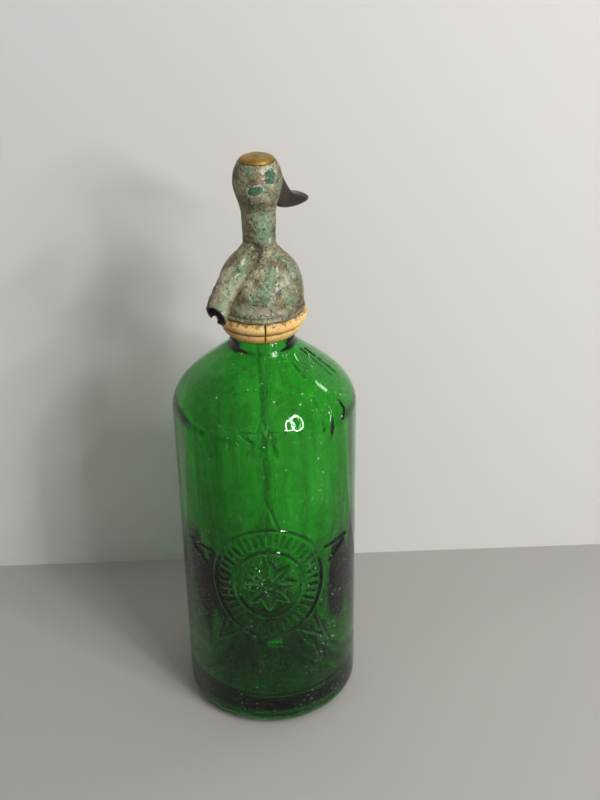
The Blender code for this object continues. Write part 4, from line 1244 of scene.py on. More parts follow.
            # Neighbouring sets lean to opposite sides on their way up.
            lean = 4.0 * height / self.body_height * (count % 3 - 1)
            ripples += depth * MM * np.sin(count * angle + phase + lean)
        ripples *= 1 - 0.6 * smooth_step(height, self.body_height - 12.0 * MM, self.body_height + 8.0 * MM)
        base = self.base_thickening * smooth_step(self.thick_below - height, 0, self.thick_run)
        return heavy + ripples + base

    def skin(self, angle: np.ndarray, radius: np.ndarray, height: np.ndarray) -> np.ndarray:
        """Shapes ornament and slow waves outside, and the wall's unevenness inside.

        Args:
            angle: Radians round the axis.
            radius: Metres from the axis.
            height: Metres over the base.

        Returns:
            Each place's offset.
        """
        outer_edge = self.radius - 0.5 * self.wall
        straight = height < self.body_height
        # On the dome the outer skin lies above the line halfway between the two shoulders.
        inside = np.where(straight, radius < outer_edge, radius < self.dome_radius(height) - 1.0 * MM)
        inside &= height > self.floor + self.inner_heel_radius
        places = wrapped_places(angle, radius, height)
        waves = bumps(places * np.array([1, 1, 0.35]), (14.0, 0.10, 3)).reshape(angle.shape)
        fade = smooth_step(self.lip_underside - height, 12.0 * MM, 34.0 * MM)
        fade *= smooth_step(height, self.floor + 8.0 * MM, self.floor + 30.0 * MM)
        inner = (self.thickening(angle, height) + 1.5 * waves) * fade
        outside = straight & (radius > outer_edge) & (height > self.relief_low)
        across = self.radius * (np.degrees(angle) - self.emblem_angle) * math.pi / 180
        ornament = np.where(outside, self.emblem(across, height - self.emblem_height), 0)
        dome = ~inside & (height > self.body_height - 6.0 * MM)
        dome &= (height < self.marks_top) & (radius > self.marks_radius)
        ornament[dome] = self.shoulder_marks(places[dome.reshape(-1)])
        wave_fade = smooth_step(height, 6.0 * MM, 20.0 * MM)
        wave_fade *= smooth_step(self.waves_top - height, 0, 14.0 * MM)
        # The heel's seam, where the mould's base plate met its sides.
        seam = self.seam_rise * np.exp(-(((height - self.seam_height) / (0.9 * MM)) ** 2))
        return np.where(inside, inner, ornament + waves * wave_fade + seam * (radius > outer_edge))

    def build(self) -> None:
        """Builds and dresses the bottle and its dip tube."""
        bottle = turned("bottle_glass", self.outline(), self.angles(), self.skin)
        dress(bottle, BottleGlass("green_bottle_glass"))
        place_piece(bottle, "siphon", "glass_bottle")
        low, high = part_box("dip_tube")
        outer, inner, rounded = high.x, high.x - self.tube_wall, self.tube_round
        section = [
            (inner, low.z + rounded), (inner, high.z - rounded), (inner + rounded, high.z),
            (outer - rounded, high.z), (outer, high.z - rounded), (outer, low.z + rounded),
            (outer - rounded, low.z), (inner + rounded, low.z),
        ]
        tube = turned("dip_tube_glass", refined(section, 6.0 * MM), even_angles(48))
        dress(tube, BottleGlass(
            "clear_tube_glass", tint=(0.62, 0.86, 0.60), density=120.0, speck_cover=0.76,
            grime_colour="DAD2B4"))
        place_piece(tube, "siphon", "dip_tube")


@dataclass
class SplitCollar:
    """Ring of two halves under the glass lip, with two rounded bands."""

    bottom: float = 222.7 * MM
    top: float = 234.3 * MM
    sleeve_top: float = 237.8 * MM
    bore: float = 14.7 * MM
    sleeve_bore: float = 16.3 * MM
    sleeve_radius: float = 18.5 * MM
    step: float = 229.7 * MM
    rim_radius: float = 21.3 * MM
    line_height: float = 228.15 * MM
    line_radius: float = 19.5 * MM
    foot_radius: float = 17.2 * MM
    split: float = 0.7 * MM
    split_angle: float = 46.0
    sides: int = 150

    def outline(self) -> Outline:
        """Draws the section, down the outer side from the sleeve's top.

        Returns:
            The section's points.
        """
        # Each band bulges out by millimetres at shares of its height, measured down from its upper edge.
        bands = (
            (self.rim_radius, self.top, self.line_height, (
                (-0.3, 0.0), (0.1, 0.10), (0.95, 0.24), (1.35, 0.44), (1.05, 0.66), (-0.2, 0.88)),
             (self.line_radius, self.line_height)),
            (self.line_radius, self.line_height, self.bottom, (
                (0.0, 0.0), (0.65, 0.16), (0.35, 0.46), (-0.7, 0.76)), (self.foot_radius, self.bottom)),
        )
        upper, lower = (
            smooth_outline([
                (radius + out * MM, top - share * (top - low)) for out, share in bulges] + [last], 0.3 * MM)
            for radius, top, low, bulges, last in bands
        )
        sleeve = [
            (self.sleeve_bore, self.sleeve_top), (self.sleeve_radius, self.sleeve_top),
            (self.sleeve_radius, self.top)]
        inner = [(self.bore, self.bottom), (self.bore, self.step), (self.sleeve_bore, self.step)]
        return sleeve + upper + lower[1:] + inner

    def build(self) -> None:
        """Builds and dresses both halves."""
        outline = np.array(self.outline())
        plastic = AgedPlastic("aged_cream_plastic", groove_height=self.line_height)
        for side, name in ((1, "left"), (-1, "right")):
            middle = math.radians(self.split_angle + side * 90)
            gap = math.asin(self.split / 2 / self.foot_radius)
            angles = middle + np.linspace(-math.pi / 2 + gap, math.pi / 2 - gap, self.sides)
            loops = []
            for angle in angles:
                ring = wrapped_places(angle, outline[:, 0], outline[:, 1])
                worn = bumps(ring, (5.0, 0.10, 11), (1.6, 0.05, 12))
                grown = np.where(outline[:, 0] > self.sleeve_radius, worn, 0)[:, None]
                loops.append(ring + grown * np.array([[math.cos(angle), math.sin(angle), 0]]))
            half = loft(f"collar_ring_{name}", loops)
            half.data.set_sharp_from_angle(angle=math.radians(40))
            dress(half, plastic)
            place_piece(half, "siphon", f"collar_half_{name}")


# Corrosion on the bell, neck and bulb: two places, each an angle and a height in millimetres, and the reach
# in millimetres from the line between them.
BODY_PATCHES = {
    "crust": ((-104.0, 305.1, -107.0, 304.0, 2.9), (-136.0, 298.6, -149.0, 298.2, 2.3)),
    "film": (
        (-108.0, 284.0, -112.0, 272.0, 5.0), (-140.0, 283.5, -132.0, 274.0, 4.6),
        (-119.0, 259.0, -133.0, 249.0, 4.8), (-112.0, 251.0, -57.7, 249.5, 1.9),
        (-133.0, 252.0, -150.0, 247.0, 3.4), (-101.0, 246.5, -88.0, 243.5, 3.4),
        (-80.0, 262.0, -66.0, 256.0, 2.8), (-60.0, 301.0, -75.0, 296.0, 2.6),
        (-130.0, 299.0, -158.0, 297.5, 3.0),
    ),
    "bloom": (
        (-178.0, 241.0, -154.0, 240.5, 5.5), (-154.0, 240.5, -130.0, 240.0, 5.5),
        (-130.0, 239.5, -108.0, 238.5, 4.2), (-160.0, 256.0, -150.0, 250.0, 4.0),
        (-110.0, 252.0, -80.0, 256.0, 3.5), (-120.0, 308.0, -85.0, 306.0, 2.4),
        (-125.0, 296.0, -105.0, 293.0, 2.4),
    ),
    "chalk": (
        (-104.5, 260.5, -113.0, 253.5, 0.9), (-114.0, 252.5, -126.0, 245.5, 1.2),
        (-126.0, 245.5, -122.6, 239.5, 1.0), (-97.0, 258.5, -96.0, 253.5, 0.8),
        (-118.0, 307.6, -100.0, 308.2, 0.7), (-95.0, 273.0, -101.0, 271.0, 0.9),
    ),
}
# The same on the spout, where a place is a share of its length and a turn in degrees from its crest.
SPOUT_PATCHES = {
    "crust": (),
    "film": ((0.15, 40.0, 0.98, 42.0, 3.0), (1.0, 60.0, 1.0, 60.0, 5.0)),
    "bloom": ((0.35, 80.0, 0.70, 70.0, 3.2), (0.60, 50.0, 0.97, 70.0, 3.6), (0.40, 0.0, 0.97, 5.0, 3.2)),
    "chalk": ((0.18, 35.0, 0.28, 35.0, 0.9), (0.40, 50.0, 0.46, 48.0, 0.7), (0.92, 75.0, 1.0, 70.0, 1.0)),
}


@dataclass
class HeadCasting:
    """Cast bell, neck, bulb and spout in one, with its bores, slot and pitted skin."""

    rim_bottom: float = 234.6 * MM
    rim_radius: float = 21.3 * MM
    bell_bottom: float = 236.2 * MM
    bell_top: float = 269.2 * MM
    bell_power: float = 2.2
    neck_radius: float = 8.1 * MM
    bulb_bottom: float = 282.0 * MM
    bulb_middle: float = 300.0 * MM
    bulb_top: float = 309.3 * MM
    bulb_radius: float = 11.8 * MM
    bulb_top_radius: float = 9.0 * MM
    cap_radius: float = 8.3 * MM
    cap_seat: float = 308.0 * MM
    cap_boss_radius: float = 6.5 * MM
    cap_boss_bottom: float = 304.6 * MM
    chamber_radius: float = 5.5 * MM
    chamber_bottom: float = 257.1 * MM
    chamber_top: float = 270.5 * MM
    web: float = 2.0 * MM
    stem_bore: float = 2.8 * MM
    fitting_bore: float = 7.5 * MM
    ceiling: float = 240.4 * MM
    skirt_bore: float = 18.8 * MM
    spout_radius: float = 6.1 * MM
    spout_tip_radius: float = 5.5 * MM
    spout_bore: float = 4.0 * MM
    spout_root: float = 269.0 * MM
    spout_slope: float = 33.0
    spout_run: float = 24.0 * MM
    spout_bend_radius: float = 32.0 * MM
    spout_bend: float = 34.0
    mouth_slope: float = 28.0
    mouth_tilt: float = 4.0
    chip_angle: float = 52.0
    chip_radius: float = 1.7 * MM
    slot_bottom: float = 281.0 * MM
    slot_top: float = 302.8 * MM
    slot_half_width: float = 3.8 * MM
    pin: Pair = (6.0 * MM, 294.0 * MM)
    pin_hole: float = 1.55 * MM
    plaque_angle: float = -96.0
    plaque_height: float = 244.2 * MM
    plaque_half_axes: Pair = (10.0 * MM, 6.8 * MM)
    plaque_side: float = 60.0
    bell_from: float = 13.0 * MM
    # Reach of the dirt and painted shade by the spout's root and along the turned line.
    corner_dirt_and_shade: float = 1.25 * MM
    line_dirt_and_shade: float = 0.9 * MM
    # Faces deeper than this under the outer skin get the near-black painted shade.
    shaded_bore_depth: float = 1.6 * MM
    overrun: float = 3.0 * MM
    cap_gap: float = 0.12 * MM
    voxel: float = 0.34 * MM
    sides: int = 160

    def bell(self, share: float) -> float:
        """Returns the bell's radius at a share of its height."""
        swing = math.cos(math.pi * share**self.bell_power)
        return self.neck_radius + (self.rim_radius - 0.4 * MM - self.neck_radius) * (1 + swing) / 2

    def bulb(self, height: float) -> float:
        """Measures the bulb.

        Args:
            height: Metres over the base.

        Returns:
            Its radius there.
        """
        if height >= self.bulb_middle:
            rise = (height - self.bulb_middle) / (self.bulb_top - self.bulb_middle)
            narrowing = 1 - (self.bulb_top_radius / self.bulb_radius) ** 2
            return self.bulb_radius * math.sqrt(1 - narrowing * rise**2)
        share = (height - self.bulb_bottom) / (self.bulb_middle - self.bulb_bottom)
        swing = math.cos(math.pi * share)
        return self.neck_radius + (self.bulb_radius - self.neck_radius) * (1 - swing) / 2

    def outline(self) -> Outline:
        """Draws the outer section from the top of the bulb to the rim.

        Returns:
            The section's points.
        """
        heights = np.linspace(self.bulb_top, self.bulb_bottom, 60)
        outline = [(0, self.bulb_top)] + [(self.bulb(height), height) for height in heights]
        shares = np.linspace(1, 0.05, 70)
        span = self.bell_top - self.bell_bottom
        outline += [(self.bell(share), self.bell_bottom + span * share) for share in shares]
        # One turned line parts the bell from its thin lip.
        outline += [
            (self.rim_radius + out * MM, self.bell_bottom + up * MM)
            for out, up in ((-0.95, 1.2), (-0.95, 0.7), (0.10, 0.3), (0.15, -0.7))
        ]
        return outline + [(self.rim_radius - 0.4 * MM, self.rim_bottom), (0, self.rim_bottom)]

    def bores(self) -> Outline:
        """Draws what is bored out from below, and from above to the cap's boss.

        Returns:
            The section's points.
        """
        return stepped(
            (self.cap_boss_radius, self.bulb_top + self.overrun),
            (self.chamber_radius, self.cap_boss_bottom), (self.stem_bore, self.chamber_top + self.web),
            (self.chamber_radius, self.chamber_top),
            (self.fitting_bore, self.chamber_bottom), (self.skirt_bore, self.ceiling),
            (0, self.rim_bottom - self.overrun))

    def spout_path(self, start: float, overrun: float) -> list[Vector]:
        """Draws the spout's centre line.

        Args:
            start: Distance from the axis, along the spout, at which it starts.
            overrun: Length past the middle of the mouth.

        Returns:
            Its points.
        """
        slope = math.radians(self.spout_slope)
        down = Vector((-math.cos(slope), 0, -math.sin(slope)))
        root = Vector((0, 0, self.spout_root))
        centre = root + down * self.spout_run
        centre += Vector((math.sin(slope), 0, -math.cos(slope))) * self.spout_bend_radius
        run = self.spout_run - start
        points = [root + down * (start + run * share) for share in np.linspace(0, 1, 24)]
        end = math.radians(self.spout_slope + self.spout_bend) + overrun / self.spout_bend_radius
        for turn in np.linspace(slope, end, 30)[1:]:
            points.append(centre + Vector((-math.sin(turn), 0, math.cos(turn))) * self.spout_bend_radius)
        return points

    def spout_radii(self, path: Sequence[Vector]) -> list[float]:
        """Measures the spout, which flares towards the bell and tapers to its tip.

        Args:
            path: Points of its centre line.

        Returns:
            Its radius at each.
        """
        steps = [0.0] + [(after - before).length for before, after in zip(path, path[1:])]
        travelled = np.cumsum(steps)
        radii = []
        for point, share in zip(path, travelled / travelled[-1]):
            near = math.exp(-(((-point.x - self.neck_radius) / (5.0 * MM)) ** 2))
            taper = self.spout_radius + (self.spout_tip_radius - self.spout_radius) * share
            radii.append(taper + 0.35 * MM * near)
        return radii

    def cast(self) -> Piece:
        """Joins the bell, bulb and spout, bores them out and rounds every edge.

        Returns:
            The casting, still with a smooth skin.
        """
        head = turned("pewter_head", self.outline(), even_angles(self.sides))
        path = self.spout_path(self.neck_radius / 2, self.spout_radius)
        combine(head, tube_along("spout", path, self.spout_radii(path), 64), "UNION")
        combine(head, turned("bores", self.bores(), even_angles(96)), "DIFFERENCE")
        bore_path = self.spout_path(self.stem_bore, self.spout_radius + self.overrun)
        bore = tube_along("spout_bore", bore_path, [self.spout_bore] * len(bore_path), 48)
        combine(head, bore, "DIFFERENCE")
        mouth = self.spout_path(0, 0)[-1]
        slope = math.radians(self.mouth_slope)
        outward = Vector((-math.cos(slope), 0, -math.sin(slope)))
        turn = outward.to_track_quat("X", "Z").to_matrix().to_4x4()
        turn = turn @ Matrix.Rotation(math.radians(self.mouth_tilt), 4, "Z")
        size = 4 * self.spout_radius
        end = Matrix.Translation(mouth + turn @ Vector((size / 2, 0, 0))) @ turn
        combine(head, box_body("mouth", (size, size, size), end), "DIFFERENCE")
        chip_at = Matrix.Translation(mouth) @ turn @ Matrix.Rotation(math.radians(self.chip_angle), 4, "X")
        chip_at = chip_at @ Matrix.Translation((-0.3 * MM, -self.spout_radius, 0))
        combine(head, self.cross_bar("chip", chip_at, self.spout_radius, self.chip_radius), "DIFFERENCE")
        span = self.bulb_radius + self.overrun
        slot_size = (span, 2 * self.slot_half_width, self.slot_top - self.slot_bottom)
        slot_at = Matrix.Translation((span / 2, 0, (self.slot_top + self.slot_bottom) / 2))
        combine(head, box_body("slot", slot_size, slot_at), "DIFFERENCE")
        remesh = head.modifiers.new("even", "REMESH")
        remesh.mode = "VOXEL"
        remesh.voxel_size = self.voxel
        smooth = head.modifiers.new("soften", "SMOOTH")
        smooth.factor = 0.5
        smooth.iterations = 3
        bake_modifiers(head)
        return head

    def cross_bar(self, name: str, placement: Matrix, half_length: float,
                  radius: float) -> Piece:
        """Makes a round bar along its own Y.

        Args:
            name: Its name.
            placement: Where its middle and axes go.
            half_length: Half its length.
            radius: Its radius.

        Returns:
            The new object.
        """
        loops = []
        for along in (-half_length, half_length):
            loops.append(np.array([
                placement @ Vector((radius * math.cos(turn), along, radius * math.sin(turn)))
                for turn in even_angles(32)
            ]))
        return loft(name, loops)

    def pit(self, head: Piece) -> None:
        """Gives the casting its uneven skin: slow dents, crust and pits.

        Args:
            head: The casting.
        """
        places = mesh_places(head)
        dents = bumps(places, (7.0, 0.16, 21), (2.4, 0.15, 22), (1.1, 0.09, 23))
        pits = -0.26 * MM * smooth_step(lattice_noise(places, 1.5 * MM, 24), 0.40, 0.72)
        move_along_normals(head, dents + pits + self.plaque(places))

    def plaque(self, places: np.ndarray) -> np.ndarray:
        """Shapes the bare oval plaque on the bell's side, with its raised edge.

        Args:
            places: The places, one per row.

        Returns:
            Its height at each.
        """
        away = self.plaque_distance(places)
        edge = np.exp(-(((away - 1) / 0.08) ** 2)) * 0.40 * MM
        return edge + smooth_step(1 - away, 0.0, 0.10) * 0.10 * MM

    def plaque_distance(self, places: np.ndarray) -> np.ndarray:
        """Measures how far places are from the plaque's middle.

        Args:
            places: The places, one per row.

        Returns:
            The distance as a share of the half axes.
        """
        angle = np.degrees(np.arctan2(places[:, 1], places[:, 0]))
        radius = np.hypot(places[:, 0], places[:, 1])
        across = np.radians(angle - self.plaque_angle) * self.rim_radius / self.plaque_half_axes[0]
        up = (places[:, 2] - self.plaque_height) / self.plaque_half_axes[1]
        on_bell = (radius > self.bell_from) & (np.abs(angle - self.plaque_angle) < self.plaque_side)
        return np.where(on_bell, np.hypot(across, up), np.inf)

    def body_radii(self, heights: np.ndarray) -> np.ndarray:
        """Measures the bell, neck or bulb.

        Args:
            heights: Metres over the base.

        Returns:
            The radius at each height.
        """
        span = self.bell_top - self.bell_bottom
        return np.array([
            self.bulb(height) if height > self.bulb_bottom
            else self.bell(min((height - self.bell_bottom) / span, 1.0))
            for height in np.clip(heights, self.bell_bottom, self.bulb_top).tolist()
        ])

    def on_head(self, angle: float, height_mm: float) -> Place:
        """Returns the place on the bell, neck or bulb at an angle in degrees and a height."""
        height = height_mm * MM
        return on_surface(angle, float(self.body_radii(np.array([height]))[0]), height)

    def on_spout(self, share: float, turn: float) -> Place:
        """Finds a place on the spout.

        Args:
            share: Share of its length.
            turn: Degrees from its crest towards -Y.

        Returns:
            The place.
        """
        path = self.spout_path(self.neck_radius, 0)
        index = round(share * (len(path) - 2))
        ahead = (path[index + 1] - path[index]).normalized()
        out = Vector((ahead.z, 0, -ahead.x)) * math.cos(math.radians(turn))
        out += Vector((0, -1, 0)) * math.sin(math.radians(turn))
        return tuple(path[index] + out * self.spout_radii(path)[index])

    def corrode(self, head: Piece) -> None:
        """Paints film, crust, bloom and chalk where the photograph shows them, pale wear with a painted
        highlight on edges, and dirt with painted shade in hollows and creases.

        Args:
            head: The casting.
        """
        places = mesh_places(head)
        layers = {}
        for layer in BODY_PATCHES:
            depths = [
                Patch(locate(*row[:2]), locate(*row[2:4]), row[4] * MM).depth(places)
                for locate, rows in ((self.on_head, BODY_PATCHES), (self.on_spout, SPOUT_PATCHES))
                for row in rows[layer]
            ]
            layers[layer] = np.max(depths, axis=0)
        layers["crust_rim"] = layers["crust"] + 0.36
        hollow = hollowness(head, 5) / (0.10 * self.voxel)
        path = self.spout_path(0, 0)
        off_spout = np.full(len(places), np.inf)
        for point, radius in zip(path, self.spout_radii(path)):
            away = np.linalg.norm(places - np.array(point), axis=1)
            off_spout = np.minimum(off_spout, np.abs(away - radius))
        off_body = np.abs(np.hypot(places[:, 0], places[:, 1]) - self.body_radii(places[:, 2]))
        # Dirt and painted shade darken the hollows, the corner between spout and bell, the turned line, and
        # the edge of the plaque.
        corner = 1 - (off_spout + off_body) / self.corner_dirt_and_shade
        above_line = places[:, 2] - self.bell_bottom - self.line_dirt_and_shade
        turned_line = 0.55 - np.abs(above_line) / self.line_dirt_and_shade
        plaque_edge = 1 - np.abs(self.plaque_distance(places) - 1.13) / 0.10
        layers["crease_dirt_and_shade"] = np.max([hollow - 0.25, corner, turned_line, 0.45 * plaque_edge], axis=0)
        # Edges and crests get pale wear, partly a painted highlight.
        layers["rubbed_wear_and_highlight"] = -hollow - 0.55
        for name, values in layers.items():
            paint(head, name, np.clip(values, -1, 2))

    def build(self) -> None:
        """Builds and dresses the casting."""
        head = self.cast()
        self.corrode(head)
        self.pit(head)
        recess = stepped((self.cap_radius + self.cap_gap, self.bulb_top + self.overrun), (0, self.cap_seat))
        combine(head, turned("recess", recess, even_angles(128)), "DIFFERENCE")
        pin_at = Matrix.Translation((self.pin[0], 0, self.pin[1]))
        combine(head, self.cross_bar("pin_hole", pin_at, 2 * self.bulb_radius, self.pin_hole), "DIFFERENCE")
        head.data.set_sharp_from_angle(angle=math.radians(50))
        dress(head, Pewter("corroded_pewter"))
        # The inner faces get near-black painted shade.
        self.shade_bores(head)
        place_piece(head, "siphon", "head_casting")

    def shade_bores(self, head: Piece) -> None:
        """Paints the inner faces near black, as painted shade inside the bores.

        Args:
            head: The casting.
        """
        # A near-black copy of the pewter stands for the shade inside the bores.
        head.data.materials.append(Pewter(
            "bore_shade_pewter", dark="11120E", middle="1E1F19", pale="2E2F27", earth="1C1812", film="1F3026",
            pale_film="2B3B31", bloom="30342B", chalk="353A33", dirt="0A0A08").material())
        centres = np.array([face.center for face in head.data.polygons])
        skin = self.body_radii(centres[:, 2]) - self.shaded_bore_depth
        inside = np.hypot(centres[:, 0], centres[:, 1]) < skin
        inside &= centres[:, 2] < self.cap_seat - 1.0 * MM
        spout = np.array([tuple(point) for point in self.spout_path(0, self.spout_radius)])
        nearest = np.full(len(centres), np.inf)
        for point in spout:
            nearest = np.minimum(nearest, np.linalg.norm(centres - point, axis=1))
        inside |= nearest < self.spout_bore + 0.55 * MM
        head.data.polygons.foreach_set("material_index", inside.astype(np.int32))


@dataclass
class ThumbLever:
    """Moulded lever: a tall root plate that sweeps out to a flat oval pad."""

    pivot: Pair = (6.0 * MM, 294.0 * MM)
    reach: float = 27.2 * MM
    root_rise: float = 8.2 * MM
    root_drop: float = 13.9 * MM
    root_half_width: float = 3.5 * MM
    pad_half_width: float = 5.6 * MM
    inner_reach: float = 2.6 * MM
    inner_half_height: float = 2.7 * MM
    nose: float = 0.7 * MM
    root_squareness: float = 4.0
    sides: int = 56
    rings: int = 72
    # Stations: share of the reach, top as a share of the root's rise, underside of its drop, widening.
    station_shares: tuple[tuple[float, float, float, float], ...] = (
        (0.04, 0.40, -0.34, 0.0), (0.12, 0.72, -0.55, 0.0), (0.20, 1.00, -0.69, 0.0),
        (0.28, 0.86, -0.82, 0.0), (0.36, 0.46, -0.89, 0.0), (0.44, -0.02, -0.94, 0.02),
        (0.52, -0.42, -0.97, 0.12), (0.61, -0.74, -0.99, 0.40), (0.71, -0.88, -1.00, 0.78),
        (0.81, -0.96, -0.99, 1.00), (0.90, -1.06, -0.965, 0.84), (0.965, -1.22, -0.925, 0.42),
    )

    def stations(self) -> np.ndarray:
        """Lists the lever's sections.

        Returns:
            Rows of distance out, half width, top, underside and squareness.
        """
        rows = [
            (-self.inner_reach, self.root_half_width, self.inner_half_height, -self.inner_half_height,
             self.root_squareness),
            (-self.inner_reach / 2, self.root_half_width, self.inner_half_height, -0.3 * self.root_drop,
             self.root_squareness),
        ]
        spread = self.pad_half_width - self.root_half_width
        for out, rise, drop, widening in self.station_shares:
            rows.append((
                self.reach * out, self.root_half_width + spread * widening, self.root_rise * rise,
                self.root_drop * drop, self.root_squareness - 1.6 * widening))
        return np.array(rows)

    def section(self, half_width: float, top: float, under: float, power: float) -> np.ndarray:
        """Draws one cross-section, a rounded rectangle or an oval.

        Args:
            half_width: Half its width.
            top: Its top.
            under: Its underside.
            power: Its squareness: 2 for an oval, more for a rectangle.

        Returns:
            Its points, across and up.
        """
        turns = even_angles(self.sides)
        across = np.sign(np.cos(turns)) * np.abs(np.cos(turns)) ** (2 / power)
        up = np.sign(np.sin(turns)) * np.abs(np.sin(turns)) ** (2 / power)
        return np.stack([half_width * across, (top + under) / 2 + (top - under) / 2 * up], axis=-1)

    def build(self) -> None:
        """Builds and dresses the lever."""
        rows = self.stations()
        steps = np.linspace(0, len(rows) - 1, self.rings)
        curves = [
            np.array(smooth_outline(list(zip(range(len(rows)), rows[:, column])), 0.05))
            for column in range(rows.shape[1])
        ]
        smooth = list(zip(*(np.interp(steps, curve[:, 0], curve[:, 1]).tolist() for curve in curves)))
        # The pad's end closes in a round nose over its last millimetre.
        out, half_width, top, under, power = smooth[-1]
        middle = (top + under) / 2
        for turn in np.radians((30, 55, 75, 86)):
            share = math.cos(turn)
            smooth.append((
                out + self.nose * math.sin(turn), half_width * share, middle + (top - middle) * share,
                middle + (under - middle) * share, power))
        loops = []
        for out, *shape in smooth:
            flat = self.section(*shape)
            loops.append(np.stack([
                np.full(self.sides, self.pivot[0] + out), flat[:, 0], self.pivot[1] + flat[:, 1]], axis=-1))
        lever = loft("thumb_lever", loops)
        dress(lever, Moulding("black_phenolic"))
        place_piece(lever, "lever", "lever")


@dataclass
class BrassCap:
    """Shallow domed cap with a narrow rim, over a hollow boss."""

    radius: float = 8.3 * MM
    flange_bottom: float = 309.4 * MM
    rim_height: float = 0.7 * MM
    dome_rise: float = 1.9 * MM
    boss_radius: float = 6.2 * MM
    boss_bottom: float = 305.2 * MM
    pocket_radius: float = 4.3 * MM
    pocket_top: float = 307.1 * MM

    def build(self) -> None:
        """Builds and dresses the cap."""
        crown = self.flange_bottom + self.rim_height
        dome = [(0, crown + self.dome_rise)]
        dome_radius = self.radius - 0.5 * MM
        for turn in np.radians(np.linspace(86, 8, 22)):
            dome.append((dome_radius * math.cos(turn), crown + self.dome_rise * math.sin(turn)))
        # A narrow turned step runs round the dome inside the rim.
        dome += [
            (self.radius - inward * MM, crown + up * MM)
            for inward, up in ((0.45, 0.05), (0.25, 0.22), (0.05, 0.05), (0.0, -0.2))
        ]
        dome.append((self.radius, self.flange_bottom))
        boss = stepped(
            (self.boss_radius, self.flange_bottom), (self.pocket_radius, self.boss_bottom),
            (0, self.pocket_top))
        cap = turned("domed_cap", dome + boss[1:], even_angles(128), self.dent)
        cap.data.set_sharp_from_angle(angle=math.radians(40))
        dress(cap, BareMetal(
            "tarnished_brass", bright="B2924F", tarnish="96783C", smooth=0.42, dull=0.55, cloud_mm=6.0))
        place_piece(cap, "siphon", "brass_cap")

    def dent(self, angle: np.ndarray, radius: np.ndarray, height: np.ndarray) -> np.ndarray:
        """Returns the slight dents of years of unscrewing."""
        return bumps(wrapped_places(angle, radius, height), (4.0, 0.06, 31)).reshape(angle.shape)


class Fitting(Enum):
    """The kinds of metal and rubber that the fittings inside the head are made of."""

    BRASS = BareMetal("fitting_brass", bright="B79A5E", tarnish="8A6F3C", smooth=0.28, dull=0.45)
    STEEL = BareMetal("drawn_steel", bright="A9A59D", tarnish="6F6B63", smooth=0.28, dull=0.5)
    RUBBER = Moulding("vulcanised_rubber", body="1E1C1B", worn="2E2B29", smooth=0.75, dull=0.9)


@dataclass
class ValveWorks:
    """The pieces inside the head, which keep their solids: each gets the finish of its kind."""

    kinds: tuple[tuple[Fitting, tuple[str, ...]], ...] = (
        (Fitting.BRASS, (
            "tube_nut", "valve_seat", "valve_stem", "washer_screw", "gland_nut", "spring_collar")),
        (Fitting.STEEL, ("lever_tang", "lever_pin")),
        (Fitting.RUBBER, ("neck_gasket", "tube_grommet", "valve_washer", "stem_packing", "cap_washer")),
    )
    wire_radius: float = 0.4 * MM
    turns: float = 4.5
    stem_travel: float = 2.094 * MM

    def coil_spring(self) -> None:
        """Builds the closing spring, which the stem squeezes against the cap."""
        low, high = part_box("closing_spring")
        radius = high.x - self.wire_radius
        bottom, top = low.z + self.wire_radius, high.z - self.wire_radius
        path = []
        for share in np.linspace(0, 1, 145):
            turn = 2 * math.pi * self.turns * share
            height = bottom + (top - bottom) * share
            path.append(Vector((radius * math.cos(turn), radius * math.sin(turn), height)))
        spring = tube_along("spring_wire", path, [self.wire_radius] * len(path), 12)
        dress(spring, Fitting.STEEL.value)
        place_piece(spring, "siphon", "closing_spring")
        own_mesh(spring)

    def build(self) -> None:
        """Builds the spring and dresses every other inner piece."""
        self.coil_spring()
        for kind, names in self.kinds:
            material = kind.value.material()
            for name in names:
                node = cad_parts[name]
                node.data.materials.clear()
                node.data.materials.append(material)
            LOG.info("%s: %s", kind.value.name, ", ".join(names))


